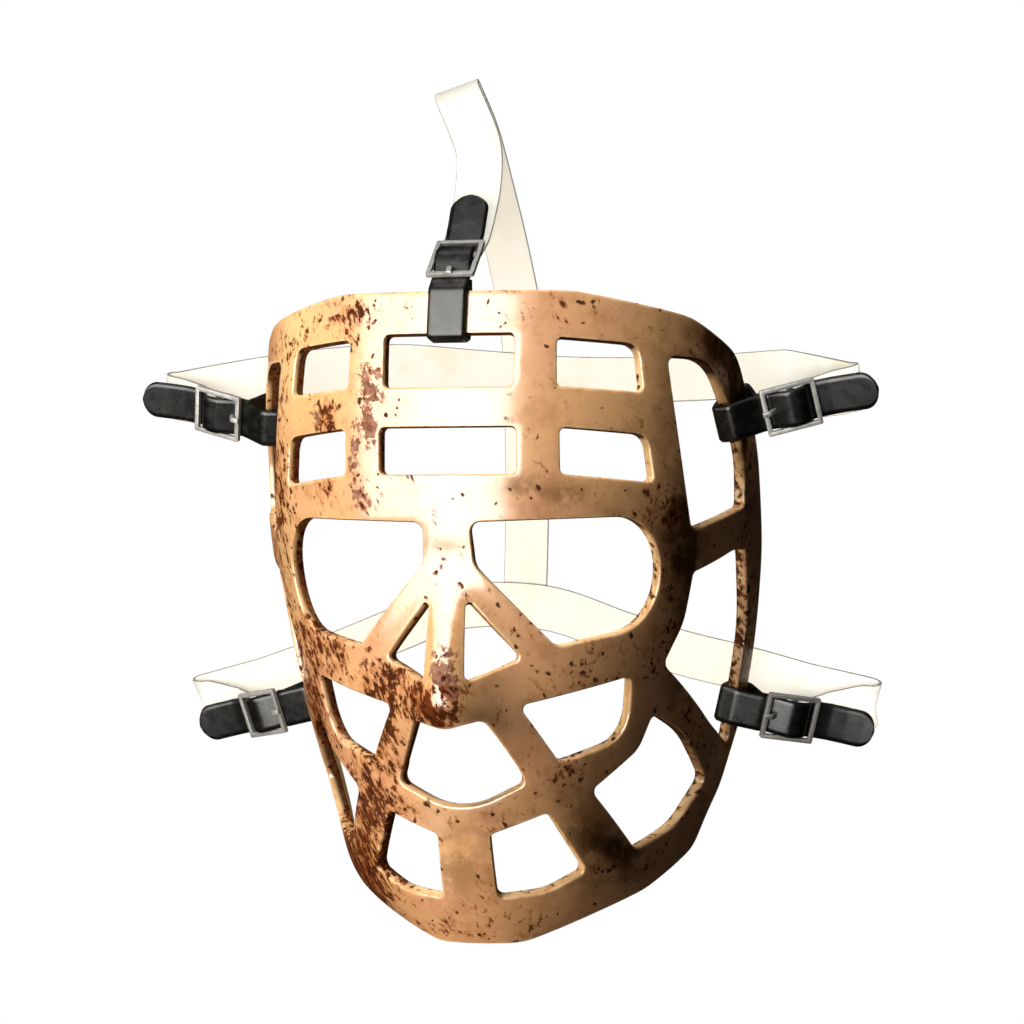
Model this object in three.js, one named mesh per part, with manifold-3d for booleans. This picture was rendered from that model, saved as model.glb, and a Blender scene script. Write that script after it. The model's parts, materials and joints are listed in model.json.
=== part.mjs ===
// Moulded goalkeeper's face mask with leather tabs, buckles and an elastic webbing harness.
// Millimetres, +Z up. The face looks along -Y and X runs to the viewer's right.
// The origin is in the middle of the head space, level with the brow.
import * as THREE from 'three';
import { mergeVertices } from 'three/addons/utils/BufferGeometryUtils.js';
import Module from 'manifold-3d';

const wasm = await Module();
wasm.setup();

// Driving sizes
const WALL = 5;
const GAP = 0.35;
const LOOP_GAP = 0.7;
const LEATHER_WIDTH = 15;
const LEATHER = 1.8;
const WEBBING_WIDTH = 19;
const WEBBING_HOOK_WIDTH = 13.4;
const WEBBING = 1.5;
const BUCKLE_LENGTH = 22.4;
const BUCKLE_WIDTH = 19.4;
const BUCKLE_BAR = 1.8;
const BUCKLE_CORNER = 0.8;
const BUCKLE_INNER_CORNER = 0.4;
const CENTRE_BAR_X = 12.6;
const CENTRE_BAR_DROP = 1.6;
const CENTRE_BAR_RADIUS = 1;
const TONGUE_WIDTH = 2;
const TONGUE_EYE_WALL = 1.1;

// How finely round outlines and long edges are cut
const ARC_STEP = THREE.MathUtils.degToRad(30);
const EDGE_STEP = 7;
const FACE_STEP = 11;
const FACE_ROW_STEP = 9.9;
const FACE_CLEAR = 5;
const BAR_SIDES = 10;
const EYE_SEGMENTS = 12;
const CORNER_SEGMENTS = 3;

// Points closer than this are one point
const SAME = 0.01;

function table(columns, rows) {
  return rows.map((row) => Object.fromEntries(columns.map((name, i) => [name, row[i]])));
}

// Horizontal sections of the face. Each is an ellipse that reaches `reach` ahead of the origin,
// `half` to each side, and has its middle `centre` behind the origin.
const FACE = table(['z', 'reach', 'half', 'centre'], [
  [-175, 33, 44, 58],
  [-150, 47.5, 73, 70],
  [-120, 58, 84, 76.5],
  [-90, 66.5, 92.5, 75],
  [-60, 72, 98, 57],
  [-30, 75, 100.5, 41],
  [0, 79, 102, 31],
  [30, 79.5, 101.5, 23],
  [60, 77, 99.5, 18],
  [105, 69, 95, 13],
]);

// The nose stands ahead of those sections by `height` on the midline and fades out over `width`.
const NOSE = table(['z', 'height', 'width'], [
  [-100, 0, 20],
  [-90, 8, 20],
  [-78, 17, 18],
  [-66, 15.5, 16],
  [-50, 10, 14],
  [-34, 4, 12],
  [-20, -1, 11],
  [-8, 0, 11],
]);

// Outlines on the face: `u` is the distance round the face from the midline, `z` the height and
// `r` the corner's radius. Only the half with positive u is listed.
const CORNER = ['u', 'z', 'r'];

const OUTER_EDGE = table(CORNER, [
  [0, 87.3, 0],
  [48, 86, 80],
  [103, 76.5, 60],
  [138, 62.5, 26],
  [164.5, 25, 40],
  [169, -14, 50],
  [155, -82, 90],
  [139.5, -112, 40],
  [117, -137, 25],
  [82.5, -152.4, 60],
  [57.5, -159.6, 60],
  [18.5, -171.4, 40],
  [0, -172, 0],
]);

// Openings across the midline, from their top to their bottom
const MIDDLE_OPENINGS = {
  brow_upper: table(CORNER, [[0, 69, 0], [26.8, 69, 2.2], [26.6, 48.4, 2.2], [0, 48.4, 0]]),
  brow_lower: table(CORNER, [[0, 32.8, 0], [28, 32.8, 2.2], [28.2, 14.6, 2.2], [0, 14.6, 0]]),
  mouth: table(CORNER, [[0, -84.5, 12], [14.4, -80.5, 3], [27.3, -106.2, 3.5], [0, -118.5, 50]]),
};

// Openings that have a mirrored twin
const SIDE_OPENINGS = {
  brow_upper_side: table(CORNER, [[43.1, 67.4, 2.2], [77, 64.8, 7], [79.8, 46.4, 2.2], [43.7, 48.6, 2.2]]),
  brow_lower_side: table(CORNER, [[44.9, 32.5, 2.2], [81.8, 29.6, 7], [85.2, 11.2, 2.2], [45.2, 14.6, 2.2]]),
  eye: table(CORNER, [[9.5, -4, 4], [88.3, -1.6, 20], [86.8, -44.4, 25], [41.8, -52.4, 5], [10.3, -20.6, 8]]),
  nose: table(CORNER, [[7.4, -32.5, 1.5], [28.2, -57, 2.2], [8.6, -65.6, 2]]),
  mouth_side: table(CORNER, [[26.6, -75.3, 2.5], [74.2, -64.6, 2.5], [73, -89, 25], [41.2, -98.2, 3]]),
  chin: table(CORNER, [
    [34.6, -118, 2.5], [49.8, -142.2, 3], [31, -150.4, 30], [11.4, -152.4, 2.5], [11, -126.4, 2.5],
  ]),
  jaw: table(CORNER, [
    [86.2, -80.4, 3], [106, -89.5, 40], [125.2, -108.6, 3.5], [104, -126, 45], [76, -135, 4],
    [54.4, -109.8, 3], [79, -94, 18],
  ]),
  temple: table(CORNER, [
    [91, 60.4, 3], [115.5, 59.8, 25], [143.8, 22.5, 25], [144.2, 2, 3.5], [105.2, -7.4, 3],
  ]),
  cheek: table(CORNER, [
    [106.3, -24.3, 3], [134, -15.8, 40], [145.2, -14.2, 4], [150.4, -45, 60], [142.4, -95.4, 3],
    [124.7, -85.4, 60], [91, -60.4, 3.5], [101.5, -44, 30],
  ]),
};

// Smooth value of one column of a table at height z
function column(rows, name, z) {
  const last = rows.length - 1;
  const height = THREE.MathUtils.clamp(z, rows[0].z, rows[last].z);
  const i = Math.min(Math.max(rows.findIndex((row) => row.z >= height) - 1, 0), last - 1);
  const slope = (k) => {
    const below = rows[Math.max(k - 1, 0)];
    const above = rows[Math.min(k + 1, last)];
    return (above[name] - below[name]) / (above.z - below.z);
  };
  const span = rows[i + 1].z - rows[i].z;
  const t = (height - rows[i].z) / span;
  const from = (2 * t ** 3 - 3 * t ** 2 + 1) * rows[i][name];
  const to = (3 * t ** 2 - 2 * t ** 3) * rows[i + 1][name];
  return from + to + span * ((t ** 3 - 2 * t ** 2 + t) * slope(i) + (t ** 3 - t ** 2) * slope(i + 1));
}

function noseHeight(x, z) {
  if (z <= NOSE[0].z || z >= NOSE[NOSE.length - 1].z) {
    return 0;
  }
  return column(NOSE, 'height', z) * Math.exp(-((x / column(NOSE, 'width', z)) ** 2));
}

// Angle round a section at the distance u from its front
function sectionAngle(half, depth, u) {
  const STEP = 0.02;
  let angle = 0;
  let left = Math.abs(u);
  for (;;) {
    const middle = angle + STEP / 2;
    const length = STEP * Math.hypot(half * Math.cos(middle), depth * Math.sin(middle));
    if (length >= left) {
      return Math.sign(u) * (angle + (STEP * left) / length);
    }
    left -= length;
    angle += STEP;
  }
}

function facePoint(u, z) {
  const half = column(FACE, 'half', z);
  const centre = column(FACE, 'centre', z);
  const depth = centre + column(FACE, 'reach', z);
  const angle = sectionAngle(half, depth, u);
  const x = half * Math.sin(angle);
  return new THREE.Vector3(x, centre - depth * Math.cos(angle) - noseHeight(x, z), z);
}

function faceNormal(u, z) {
  const NEAR = 0.4;
  const across = facePoint(u + NEAR, z).sub(facePoint(u - NEAR, z));
  const up = facePoint(u, z + NEAR).sub(facePoint(u, z - NEAR));
  return across.cross(up).normalize();
}

// Point at a depth under the outer face
function shellPoint(u, z, depth) {
  return facePoint(u, z).addScaledVector(faceNormal(u, z), -depth);
}

// Outline with rounded corners, as points that run anticlockwise seen from the front
function roundedOutline(corners) {
  const ROOM = 0.49;
  const points = [];
  corners.forEach((corner, i) => {
    const here = new THREE.Vector2(corner.u, corner.z);
    const before = corners.at(i - 1);
    const after = corners[(i + 1) % corners.length];
    const back = new THREE.Vector2(before.u, before.z).sub(here);
    const ahead = new THREE.Vector2(after.u, after.z).sub(here);
    const room = ROOM * Math.min(back.length(), ahead.length());
    back.normalize();
    ahead.normalize();
    const half = Math.acos(THREE.MathUtils.clamp(back.dot(ahead), -1, 1)) / 2;
    const tangent = Math.min(corner.r / Math.tan(half), room);
    const radius = tangent * Math.tan(half);
    const inward = back.clone().add(ahead).normalize();
    const centre = here.clone().addScaledVector(inward, radius / Math.sin(half));
    const steps = Math.max(1, Math.ceil((Math.PI - 2 * half) / ARC_STEP));
    const start = here.clone().addScaledVector(back, tangent).sub(centre);
    const turn = Math.sign(back.cross(ahead)) * -(Math.PI - 2 * half);
    for (let k = 0; k <= steps; k += 1) {
      points.push(start.clone().rotateAround(new THREE.Vector2(), (turn * k) / steps).add(centre));
    }
  });
  return THREE.ShapeUtils.area(points) > 0 ? points : points.reverse();
}

// The same outline with its long edges cut into short ones and repeated points left out
function cutEdges(points) {
  const result = [];
  points.forEach((point, i) => {
    const next = points[(i + 1) % points.length];
    const length = point.distanceTo(next);
    const parts = Math.ceil(length / EDGE_STEP);
    for (let k = 0; k < parts && length > SAME; k += 1) {
      result.push(point.clone().lerp(next, k / parts));
    }
  });
  return result;
}

const mirrorCorner = (corner) => ({ ...corner, u: -corner.u });
const onMidline = (corner) => corner.u === 0;

function wholeOutline(half) {
  const inner = half.filter((corner) => !(onMidline(corner) && corner.r === 0));
  const mirrored = inner.filter((corner) => !onMidline(corner)).map(mirrorCorner).reverse();
  return cutEdges(roundedOutline([...inner, ...mirrored]));
}

const outerOutline = wholeOutline(OUTER_EDGE);
const sideOutline = (corners) => cutEdges(roundedOutline(corners));
const openingOutlines = [
  ...Object.values(MIDDLE_OPENINGS).map(wholeOutline),
  ...Object.values(SIDE_OPENINGS).map(sideOutline),
  ...Object.values(SIDE_OPENINGS).map((corners) => sideOutline(corners.map(mirrorCorner))),
];

function solidOfArrays(positions, indices) {
  const vertProperties = new Float32Array(positions);
  const triVerts = new Uint32Array(indices);
  return new wasm.Manifold(new wasm.Mesh({ numProp: 3, vertProperties, triVerts }));
}

function solidOf(points, triangles) {
  return solidOfArrays(points.flatMap((point) => point.toArray()), triangles.flat());
}

function solidOfGeometry(geometry) {
  const MERGE = 1e-4;
  const bare = geometry.clone();
  bare.deleteAttribute('normal');
  bare.deleteAttribute('uv');
  const merged = mergeVertices(bare, MERGE);
  return solidOfArrays(merged.getAttribute('position').array, merged.index.array);
}

function geometryOf(solid) {
  const mesh = solid.getMesh();
  const geometry = new THREE.BufferGeometry();
  geometry.setAttribute('position', new THREE.BufferAttribute(new Float32Array(mesh.vertProperties), 3));
  geometry.setIndex(new THREE.BufferAttribute(new Uint32Array(mesh.triVerts), 1));
  geometry.computeVertexNormals();
  return geometry;
}

// Two triangles for each side of a strip between two rings of the same size
function bridge(lower, upper, size) {
  const triangles = [];
  for (let i = 0; i < size; i += 1) {
    const next = (i + 1) % size;
    triangles.push([lower + i, lower + next, upper + next], [lower + i, upper + next, upper + i]);
  }
  return triangles;
}

function inside(outline, u, z) {
  let odd = false;
  outline.forEach((a, i) => {
    const b = outline[(i + 1) % outline.length];
    if ((a.y > z) !== (b.y > z) && u < a.x + ((z - a.y) * (b.x - a.x)) / (b.y - a.y)) {
      odd = !odd;
    }
  });
  return odd;
}

function onShell(u, z) {
  return inside(outerOutline, u, z) && !openingOutlines.some((outline) => inside(outline, u, z));
}

// Triangle of three places with the circle through them
function circled(places, corners) {
  const [a, b, c] = corners.map((i) => places[i]);
  const ab = b.clone().sub(a);
  const ac = c.clone().sub(a);
  const twice = 2 * ab.cross(ac);
  const centre = new THREE.Vector2(
    a.x + (ac.y * ab.lengthSq() - ab.y * ac.lengthSq()) / twice,
    a.y + (ab.x * ac.lengthSq() - ac.x * ab.lengthSq()) / twice,
  );
  return { corners, centre, reach: centre.distanceToSquared(a) };
}

// Delaunay triangles of places in the plane, each anticlockwise
function triangulate(places) {
  const FAR = 1e4;
  const ROUNDING = 1e-9;
  const frame = [new THREE.Vector2(-FAR, -FAR), new THREE.Vector2(FAR, -FAR), new THREE.Vector2(0, FAR)];
  const all = [...places, ...frame];
  const size = places.length;
  let triangles = [circled(all, [size, size + 1, size + 2])];
  places.forEach((place, i) => {
    const rim = new Map();
    triangles = triangles.filter(({ corners, centre, reach }) => {
      if (centre.distanceToSquared(place) >= reach * (1 - ROUNDING)) {
        return true;
      }
      corners.forEach((from, k) => {
        const to = corners[(k + 1) % 3];
        if (!rim.delete(`${to} ${from}`)) {
          rim.set(`${from} ${to}`, [from, to]);
        }
      });
      return false;
    });
    rim.forEach(([from, to]) => triangles.push(circled(all, [from, to, i])));
  });
  return triangles.map(({ corners }) => corners).filter((corners) => Math.max(...corners) < size);
}

// Places on the face between the edges: a staggered grid, and a row down the ridge of the nose
function facePlaces(edges) {
  const RIDGE = { top: -14, bottom: -78, step: 8 };
  const reach = Math.max(...edges.map(({ x, y }) => Math.max(Math.abs(x), Math.abs(y))));
  const rows = Math.ceil(reach / FACE_ROW_STEP);
  const columns = Math.ceil(reach / FACE_STEP);
  const places = [];
  for (let z = RIDGE.bottom; z <= RIDGE.top; z += RIDGE.step) {
    places.push(new THREE.Vector2(0, z));
  }
  const taken = [...edges, ...places];
  for (let row = -rows; row <= rows; row += 1) {
    const shift = (Math.abs(row) % 2) / 2;
    for (let k = -columns; k <= columns; k += 1) {
      const place = new THREE.Vector2((k + shift) * FACE_STEP, row * FACE_ROW_STEP);
      if (onShell(place.x, place.y) && taken.every((other) => other.distanceTo(place) > FACE_CLEAR)) {
        places.push(place);
      }
    }
  }
  return places;
}

// Moulded shell: the same triangles on the outer and the inner face, joined by a wall along each edge
function shellSolid() {
  const loops = [outerOutline, ...openingOutlines.map((outline) => [...outline].reverse())];
  const edges = loops.flat();
  const places = [...edges, ...facePlaces(edges)];
  const size = places.length;
  const onMaterial = ([a, b, c]) => {
    const middle = places[a].clone().add(places[b]).add(places[c]).divideScalar(3);
    return onShell(middle.x, middle.y);
  };
  const face = triangulate(places).filter(onMaterial);
  const points = [0, WALL].flatMap((depth) => places.map(({ x, y }) => shellPoint(x, y, depth)));
  const triangles = [...face, ...face.map(([a, b, c]) => [a + size, c + size, b + size])];
  let first = 0;
  loops.forEach((loop) => {
    triangles.push(...bridge(first + size, first, loop.length));
    first += loop.length;
  });
  return solidOf(points, triangles);
}

// Flat strip along a path. Each station has a middle `at`, a direction `across` and a `width`.
function ribbon(stations, thick) {
  const points = [];
  const triangles = [];
  stations.forEach((station, i) => {
    const before = stations[Math.max(i - 1, 0)].at;
    const after = stations[Math.min(i + 1, stations.length - 1)].at;
    const along = after.clone().sub(before).normalize();
    const across = station.across.clone();
    across.addScaledVector(along, -across.dot(along)).normalize();
    const out = along.clone().cross(across);
    [[-1, -1], [1, -1], [1, 1], [-1, 1]].forEach(([side, face]) => {
      const corner = station.at.clone().addScaledVector(across, (side * station.width) / 2);
      points.push(corner.addScaledVector(out, (face * thick) / 2));
    });
  });
  const last = points.length - 4;
  triangles.push([0, 2, 1], [0, 3, 2], [last, last + 1, last + 2], [last, last + 2, last + 3]);
  for (let k = 0; k < last; k += 4) {
    triangles.push(...bridge(k, k + 4, 4));
  }
  return solidOf(points, triangles);
}

// Tabs. `at` is the middle of the buckle's edge next to the shell, `out` the way that the tab points
// and `across` the direction of its width. The bar that it loops round lies inside the window.
const TABS = [
  {
    name: 'upper', at: [110, -2, 38.5], out: [20.9, 6, 5.5], across: [-2.2, -6.3, 18.2],
    window: { u: [118, 175], z: [16, 60] }, mirrored: true,
  },
  {
    name: 'lower', at: [103.3, 29.3, -82.7], out: [19.6, 11.6, -3.1], across: [4.1, -4.2, 19],
    window: { u: [136, 172], z: [-106, -62] }, mirrored: true,
  },
  {
    name: 'top', at: [0, -71.6, 91.9], out: [0, 16.9, 13.7], across: [-1, 0, 0],
    window: { u: [-12, 12], z: [66, 92] }, mirrored: false,
  },
];

// In a tab's own frame x points out along the tab, y across it and z out of its front
function tabMatrix(tab) {
  const out = new THREE.Vector3(...tab.out).normalize();
  const across = new THREE.Vector3(...tab.across);
  across.addScaledVector(out, -across.dot(out)).normalize();
  const front = out.clone().cross(across);
  return new THREE.Matrix4().makeBasis(out, across, front).setPosition(...tab.at);
}

function mirroredTab(tab) {
  const [atX, atY, atZ] = tab.at;
  const [outX, outY, outZ] = tab.out;
  const [acrossX, acrossY, acrossZ] = tab.across;
  return { ...tab, at: [-atX, atY, atZ], out: [-outX, outY, outZ], across: [acrossX, -acrossY, -acrossZ] };
}

// Heights of the layers in the tab's frame
const BAR_HALF = BUCKLE_BAR / 2;
const OUTER_BAR_X = BUCKLE_LENGTH - BAR_HALF;
const UNDER_BAR = -(BAR_HALF + GAP + LEATHER / 2);
const HOOK_RADIUS = CENTRE_BAR_RADIUS + GAP + WEBBING / 2;
const OVER_HOOK = -CENTRE_BAR_DROP + HOOK_RADIUS + WEBBING / 2 + GAP + LEATHER / 2;
const BACK_LAYER = UNDER_BAR - LEATHER - GAP;
const WEBBING_LAYER = UNDER_BAR - LEATHER / 2 - LOOP_GAP - WEBBING / 2;

function convexHull(points) {
  const sorted = [...points].sort((a, b) => a.x - b.x || a.y - b.y);
  const chain = (list) => list.reduce((hull, point) => {
    while (hull.length > 1) {
      const last = hull.at(-1);
      const side = last.clone().sub(hull.at(-2)).cross(point.clone().sub(last));
      if (side > 0) {
        break;
      }
      hull.pop();
    }
    hull.push(point);
    return hull;
  }, []);
  return [...chain(sorted).slice(0, -1), ...chain(sorted.reverse()).slice(0, -1)];
}

// Section of the shell's bar under a tab, in the plane of the tab's length and front
function barSection(tab) {
  const STEP = 1.5;
  const EDGE_PARTS = 10;
  const toTab = tabMatrix(tab).invert();
  const places = [];
  for (let u = tab.window.u[0]; u <= tab.window.u[1]; u += STEP) {
    for (let z = tab.window.z[0]; z <= tab.window.z[1]; z += STEP) {
      if (onShell(u, z)) {
        places.push(new THREE.Vector2(u, z));
      }
    }
  }
  const within = (place) => place.x >= tab.window.u[0] && place.x <= tab.window.u[1]
    && place.y >= tab.window.z[0] && place.y <= tab.window.z[1];
  [outerOutline, ...openingOutlines].forEach((outline) => outline.forEach((point, i) => {
    const next = outline[(i + 1) % outline.length];
    for (let k = 0; k < EDGE_PARTS; k += 1) {
      places.push(point.clone().lerp(next, k / EDGE_PARTS));
    }
  }));
  const local = ({ x, y }, depth) => shellPoint(x, y, depth).applyMatrix4(toTab);
  return places.filter(within)
    .flatMap((place) => [local(place, 0), local(place, WALL)])
    .filter((point) => Math.abs(point.y) < LEATHER_WIDTH / 2 + STEP)
    .map((point) => new THREE.Vector2(point.x, point.z));
}

// Taut loop from the front layer, round the bar, to the back layer
function loopPath(tab) {
  const ROUND = 16;
  const SHORT = 0.4;
  const START_X = -1;
  const clear = LOOP_GAP + LEATHER / 2;
  const front = new THREE.Vector2(START_X, UNDER_BAR);
  const back = new THREE.Vector2(START_X, BACK_LAYER);
  const circle = Array.from({ length: ROUND }, (unused, k) => {
    const angle = (2 * Math.PI * k) / ROUND;
    return new THREE.Vector2(clear * Math.cos(angle), clear * Math.sin(angle));
  });
  const around = barSection(tab).flatMap((point) => circle.map((offset) => offset.clone().add(point)));
  const hull = convexHull([...around, front, back]);
  const start = hull.indexOf(front);
  const loop = [...hull.slice(start), ...hull.slice(0, start)];
  return loop.filter((point, i) => i === 0 || point === back || point.distanceTo(loop[i - 1]) > SHORT);
}

// Middle of the leather in the tab's frame: its tail, and its way through the buckle over the hook
const PATH = ['x', 'z'];
const TAIL = table(PATH, [
  [46, 5.6],
  [41.5, 3.6],
  [35, 1],
  [28.5, -1.2],
]);
const THROUGH = table(PATH, [
  [OUTER_BAR_X + 1, UNDER_BAR],
  [OUTER_BAR_X - 1.8, UNDER_BAR],
  [CENTRE_BAR_X + 4.6, OVER_HOOK - 1.3],
  [CENTRE_BAR_X + 2, OVER_HOOK - 0.1],
  [CENTRE_BAR_X, OVER_HOOK],
  [CENTRE_BAR_X - 2, OVER_HOOK - 0.1],
  [CENTRE_BAR_X - 4.6, OVER_HOOK - 1.6],
  [BAR_HALF + 2.6, UNDER_BAR],
  [BAR_HALF, UNDER_BAR],
]);
const LOOP_END_X = BAR_HALF + 2;

// Slots that the tongue passes through, along the tab and in depth
const LEATHER_SLOT = { fromX: 2.9, toX: 7.2, fromZ: -3.6, toZ: 1.6 };
const WEBBING_SLOT = { fromX: 9, toX: 16, fromZ: -4.8, toZ: 2.2 };

function tongueSlot({ fromX, toX, fromZ, toZ }) {
  const box = new THREE.BoxGeometry(toX - fromX, TONGUE_WIDTH + 2 * GAP, toZ - fromZ);
  box.translate((fromX + toX) / 2, 0, (fromZ + toZ) / 2);
  return solidOfGeometry(box);
}

// Leather from the rounded tip, through the buckle and round the bar
function leatherSolid(tab) {
  const TIP_LENGTH = 6;
  const TIP_CUTS = [0, 0.12, 0.3, 0.6];
  const TIP_LEAST = 0.05;
  const across = new THREE.Vector3(0, 1, 0);
  const [first, ...tail] = TAIL.map(({ x, z }) => new THREE.Vector2(x, z));
  const inward = tail[0].clone().sub(first).normalize();
  const tip = TIP_CUTS.map((part) => first.clone().addScaledVector(inward, part * TIP_LENGTH));
  const through = THROUGH.map(({ x, z }) => new THREE.Vector2(x, z));
  const end = new THREE.Vector2(LOOP_END_X, BACK_LAYER);
  const stations = [...tip, ...tail, ...through, ...loopPath(tab), end].map((point) => {
    const fromTip = THREE.MathUtils.clamp(point.distanceTo(first) / TIP_LENGTH, TIP_LEAST, 1);
    const width = LEATHER_WIDTH * Math.sqrt(1 - (1 - fromTip) ** 2);
    return { at: new THREE.Vector3(point.x, 0, point.y), across, width };
  });
  return ribbon(stations, LEATHER).subtract(tongueSlot(LEATHER_SLOT));
}

function roundedRectangle(path, x, y, width, height, radius) {
  path.moveTo(x + radius, y);
  path.lineTo(x + width - radius, y);
  path.absarc(x + width - radius, y + radius, radius, -Math.PI / 2, 0);
  path.lineTo(x + width, y + height - radius);
  path.absarc(x + width - radius, y + height - radius, radius, 0, Math.PI / 2);
  path.lineTo(x + radius, y + height);
  path.absarc(x + radius, y + height - radius, radius, Math.PI / 2, Math.PI);
  path.lineTo(x, y + radius);
  path.absarc(x + radius, y + radius, radius, Math.PI, 1.5 * Math.PI);
}

function extruded(shape, depth, curveSegments) {
  return new THREE.ExtrudeGeometry(shape, { depth, bevelEnabled: false, curveSegments });
}

// Square buckle frame with a low centre bar
function buckleSolid() {
  const length = BUCKLE_LENGTH - 2 * BUCKLE_BAR;
  const width = BUCKLE_WIDTH - 2 * BUCKLE_BAR;
  const frame = new THREE.Shape();
  const hole = new THREE.Path();
  roundedRectangle(frame, 0, -BUCKLE_WIDTH / 2, BUCKLE_LENGTH, BUCKLE_WIDTH, BUCKLE_CORNER);
  roundedRectangle(hole, BUCKLE_BAR, -width / 2, length, width, BUCKLE_INNER_CORNER);
  frame.holes.push(hole);
  const ring = extruded(frame, BUCKLE_BAR, CORNER_SEGMENTS);
  ring.translate(0, 0, -BAR_HALF);
  const bar = new THREE.CylinderGeometry(CENTRE_BAR_RADIUS, CENTRE_BAR_RADIUS, width + BUCKLE_BAR, BAR_SIDES);
  bar.translate(CENTRE_BAR_X, 0, -CENTRE_BAR_DROP);
  return solidOfGeometry(ring).add(solidOfGeometry(bar));
}

// Side of the tongue's pin in the tab's frame, from the eye under the leather, up through the slot to
// its tip on the bar next to the shell, and back
const PIN_BASE = BAR_HALF + GAP;
const PIN = table(PATH, [
  [CENTRE_BAR_X - 1.6, -3.1],
  [5.2, -2.9],
  [2.2, PIN_BASE],
  [-0.5, PIN_BASE],
  [-0.7, PIN_BASE + 0.4],
  [-0.5, PIN_BASE + 1.1],
  [2.3, PIN_BASE + 1.4],
  [3.2, PIN_BASE + 1],
  [6.3, -1.6],
  [CENTRE_BAR_X - 1.6, -1.5],
]);

// Tongue: an eye round the centre bar and a bent flat pin
function tongueSolid() {
  const hole = CENTRE_BAR_RADIUS + GAP;
  const ring = new THREE.Shape();
  ring.absarc(CENTRE_BAR_X, -CENTRE_BAR_DROP, hole + TONGUE_EYE_WALL, 0, 2 * Math.PI);
  const pin = new THREE.Shape(PIN.map(({ x, z }) => new THREE.Vector2(x, z)));
  const bore = new THREE.Shape();
  bore.absarc(CENTRE_BAR_X, -CENTRE_BAR_DROP, hole, 0, 2 * Math.PI);
  const [eye, flat, gap] = [ring, pin, bore].map((shape) => {
    const geometry = extruded(shape, TONGUE_WIDTH, EYE_SEGMENTS);
    geometry.rotateX(Math.PI / 2);
    geometry.translate(0, TONGUE_WIDTH / 2, 0);
    return solidOfGeometry(geometry);
  });
  return eye.add(flat).subtract(gap);
}

// Webbing from its hook round a buckle's centre bar out along the back of the tab
function hookStations(tab, outward) {
  const HOOK_CUTS = 6;
  const HOOK_STEP = THREE.MathUtils.degToRad(42);
  const START = THREE.MathUtils.degToRad(60);
  const BEHIND_X = CENTRE_BAR_X + 4.4;
  const TAPER_FROM = CENTRE_BAR_X + 2;
  const TAPER_TO = BUCKLE_LENGTH + 3;
  const turn = Array.from({ length: HOOK_CUTS }, (unused, k) => START + k * HOOK_STEP);
  const hook = turn.map((angle) => [
    CENTRE_BAR_X + HOOK_RADIUS * Math.cos(angle), 0, -CENTRE_BAR_DROP + HOOK_RADIUS * Math.sin(angle),
  ]);
  const behind = [[BEHIND_X, 0, WEBBING_LAYER], [OUTER_BAR_X, 0, WEBBING_LAYER]];
  const places = [...hook, ...behind, ...outward.map(({ x, y, z }) => [x, y, z])];
  const matrix = tabMatrix(tab);
  const across = new THREE.Vector3().setFromMatrixColumn(matrix, 1);
  return places.map(([x, y, z]) => ({
    at: new THREE.Vector3(x, y, z).applyMatrix4(matrix),
    across,
    width: THREE.MathUtils.clamp(
      THREE.MathUtils.mapLinear(x, TAPER_FROM, TAPER_TO, WEBBING_HOOK_WIDTH, WEBBING_WIDTH),
      WEBBING_HOOK_WIDTH,
      WEBBING_WIDTH,
    ),
  }));
}

// Smooth run of webbing through a table of places; `lean` turns its width about the line of sight
function runStations(rows, samples) {
  const points = rows.map(({ x, y, z }) => new THREE.Vector3(x, y, z));
  const curve = new THREE.CatmullRomCurve3(points, false, 'centripetal');
  return Array.from({ length: samples + 1 }, (unused, k) => {
    const part = (k / samples) * (rows.length - 1);
    const row = Math.min(Math.floor(part), rows.length - 2);
    const lean = THREE.MathUtils.lerp(rows[row].lean, rows[row + 1].lean, part - row);
    const angle = THREE.MathUtils.degToRad(lean);
    return {
      at: curve.getPoint(k / samples),
      across: new THREE.Vector3(Math.cos(angle), 0, Math.sin(angle)),
      width: WEBBING_WIDTH,
    };
  });
}

const mirrorStation = ({ at, across, width }) => ({
  at: at.clone().setX(-at.x), across: across.clone().setX(-across.x), width,
});

function slotIn(tab) {
  return tongueSlot(WEBBING_SLOT).transform(tabMatrix(tab).elements);
}

// Webbing that runs from one side's buckle, out behind the tab, back round the head to the other side
const FOLD = ['x', 'y', 'z'];
const UPPER_FOLD = table(FOLD, [
  [31, 0, -3.7],
  [38, 0, -2.9],
  [40.4, 0, -3.4],
  [41.5, 0, -5],
  [41, 0, -7],
  [38.6, 0, -8.9],
]);
const LOWER_FOLD = table(FOLD, [
  [29, 2.4, -4],
  [36, 5.6, -1.9],
  [42.5, 9, 0.9],
  [45, 10.4, 1.4],
  [46, 11, 0.2],
  [45.4, 11, -1.8],
  [42, 10.8, -4.6],
]);
const RUN = ['x', 'y', 'z', 'lean'];
const UPRIGHT = 90;

const UPPER_RUN = table(RUN, [
  [112, 31, 56, UPRIGHT],
  [86, 49, 55.5, UPRIGHT],
  [45, 63, 55, UPRIGHT],
  [10, 67, 56, UPRIGHT],
  [-30, 67, 59.5, UPRIGHT],
  [-60, 63.5, 62, UPRIGHT],
  [-90, 48, 60, UPRIGHT],
  [-112, 31, 56, UPRIGHT],
]);

const LOWER_RUN = table(RUN, [
  [118, 54, -72.5, UPRIGHT],
  [90, 61, -65.5, UPRIGHT],
  [61, 65.5, -59, UPRIGHT],
  [36, 67.3, -51.5, UPRIGHT],
  [2, 67.5, -40.5, UPRIGHT],
  [-38, 67.5, -40.5, UPRIGHT],
  [-61, 66, -49, UPRIGHT],
  [-88, 61.5, -60, UPRIGHT],
  [-118, 54, -71, UPRIGHT],
]);

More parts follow.
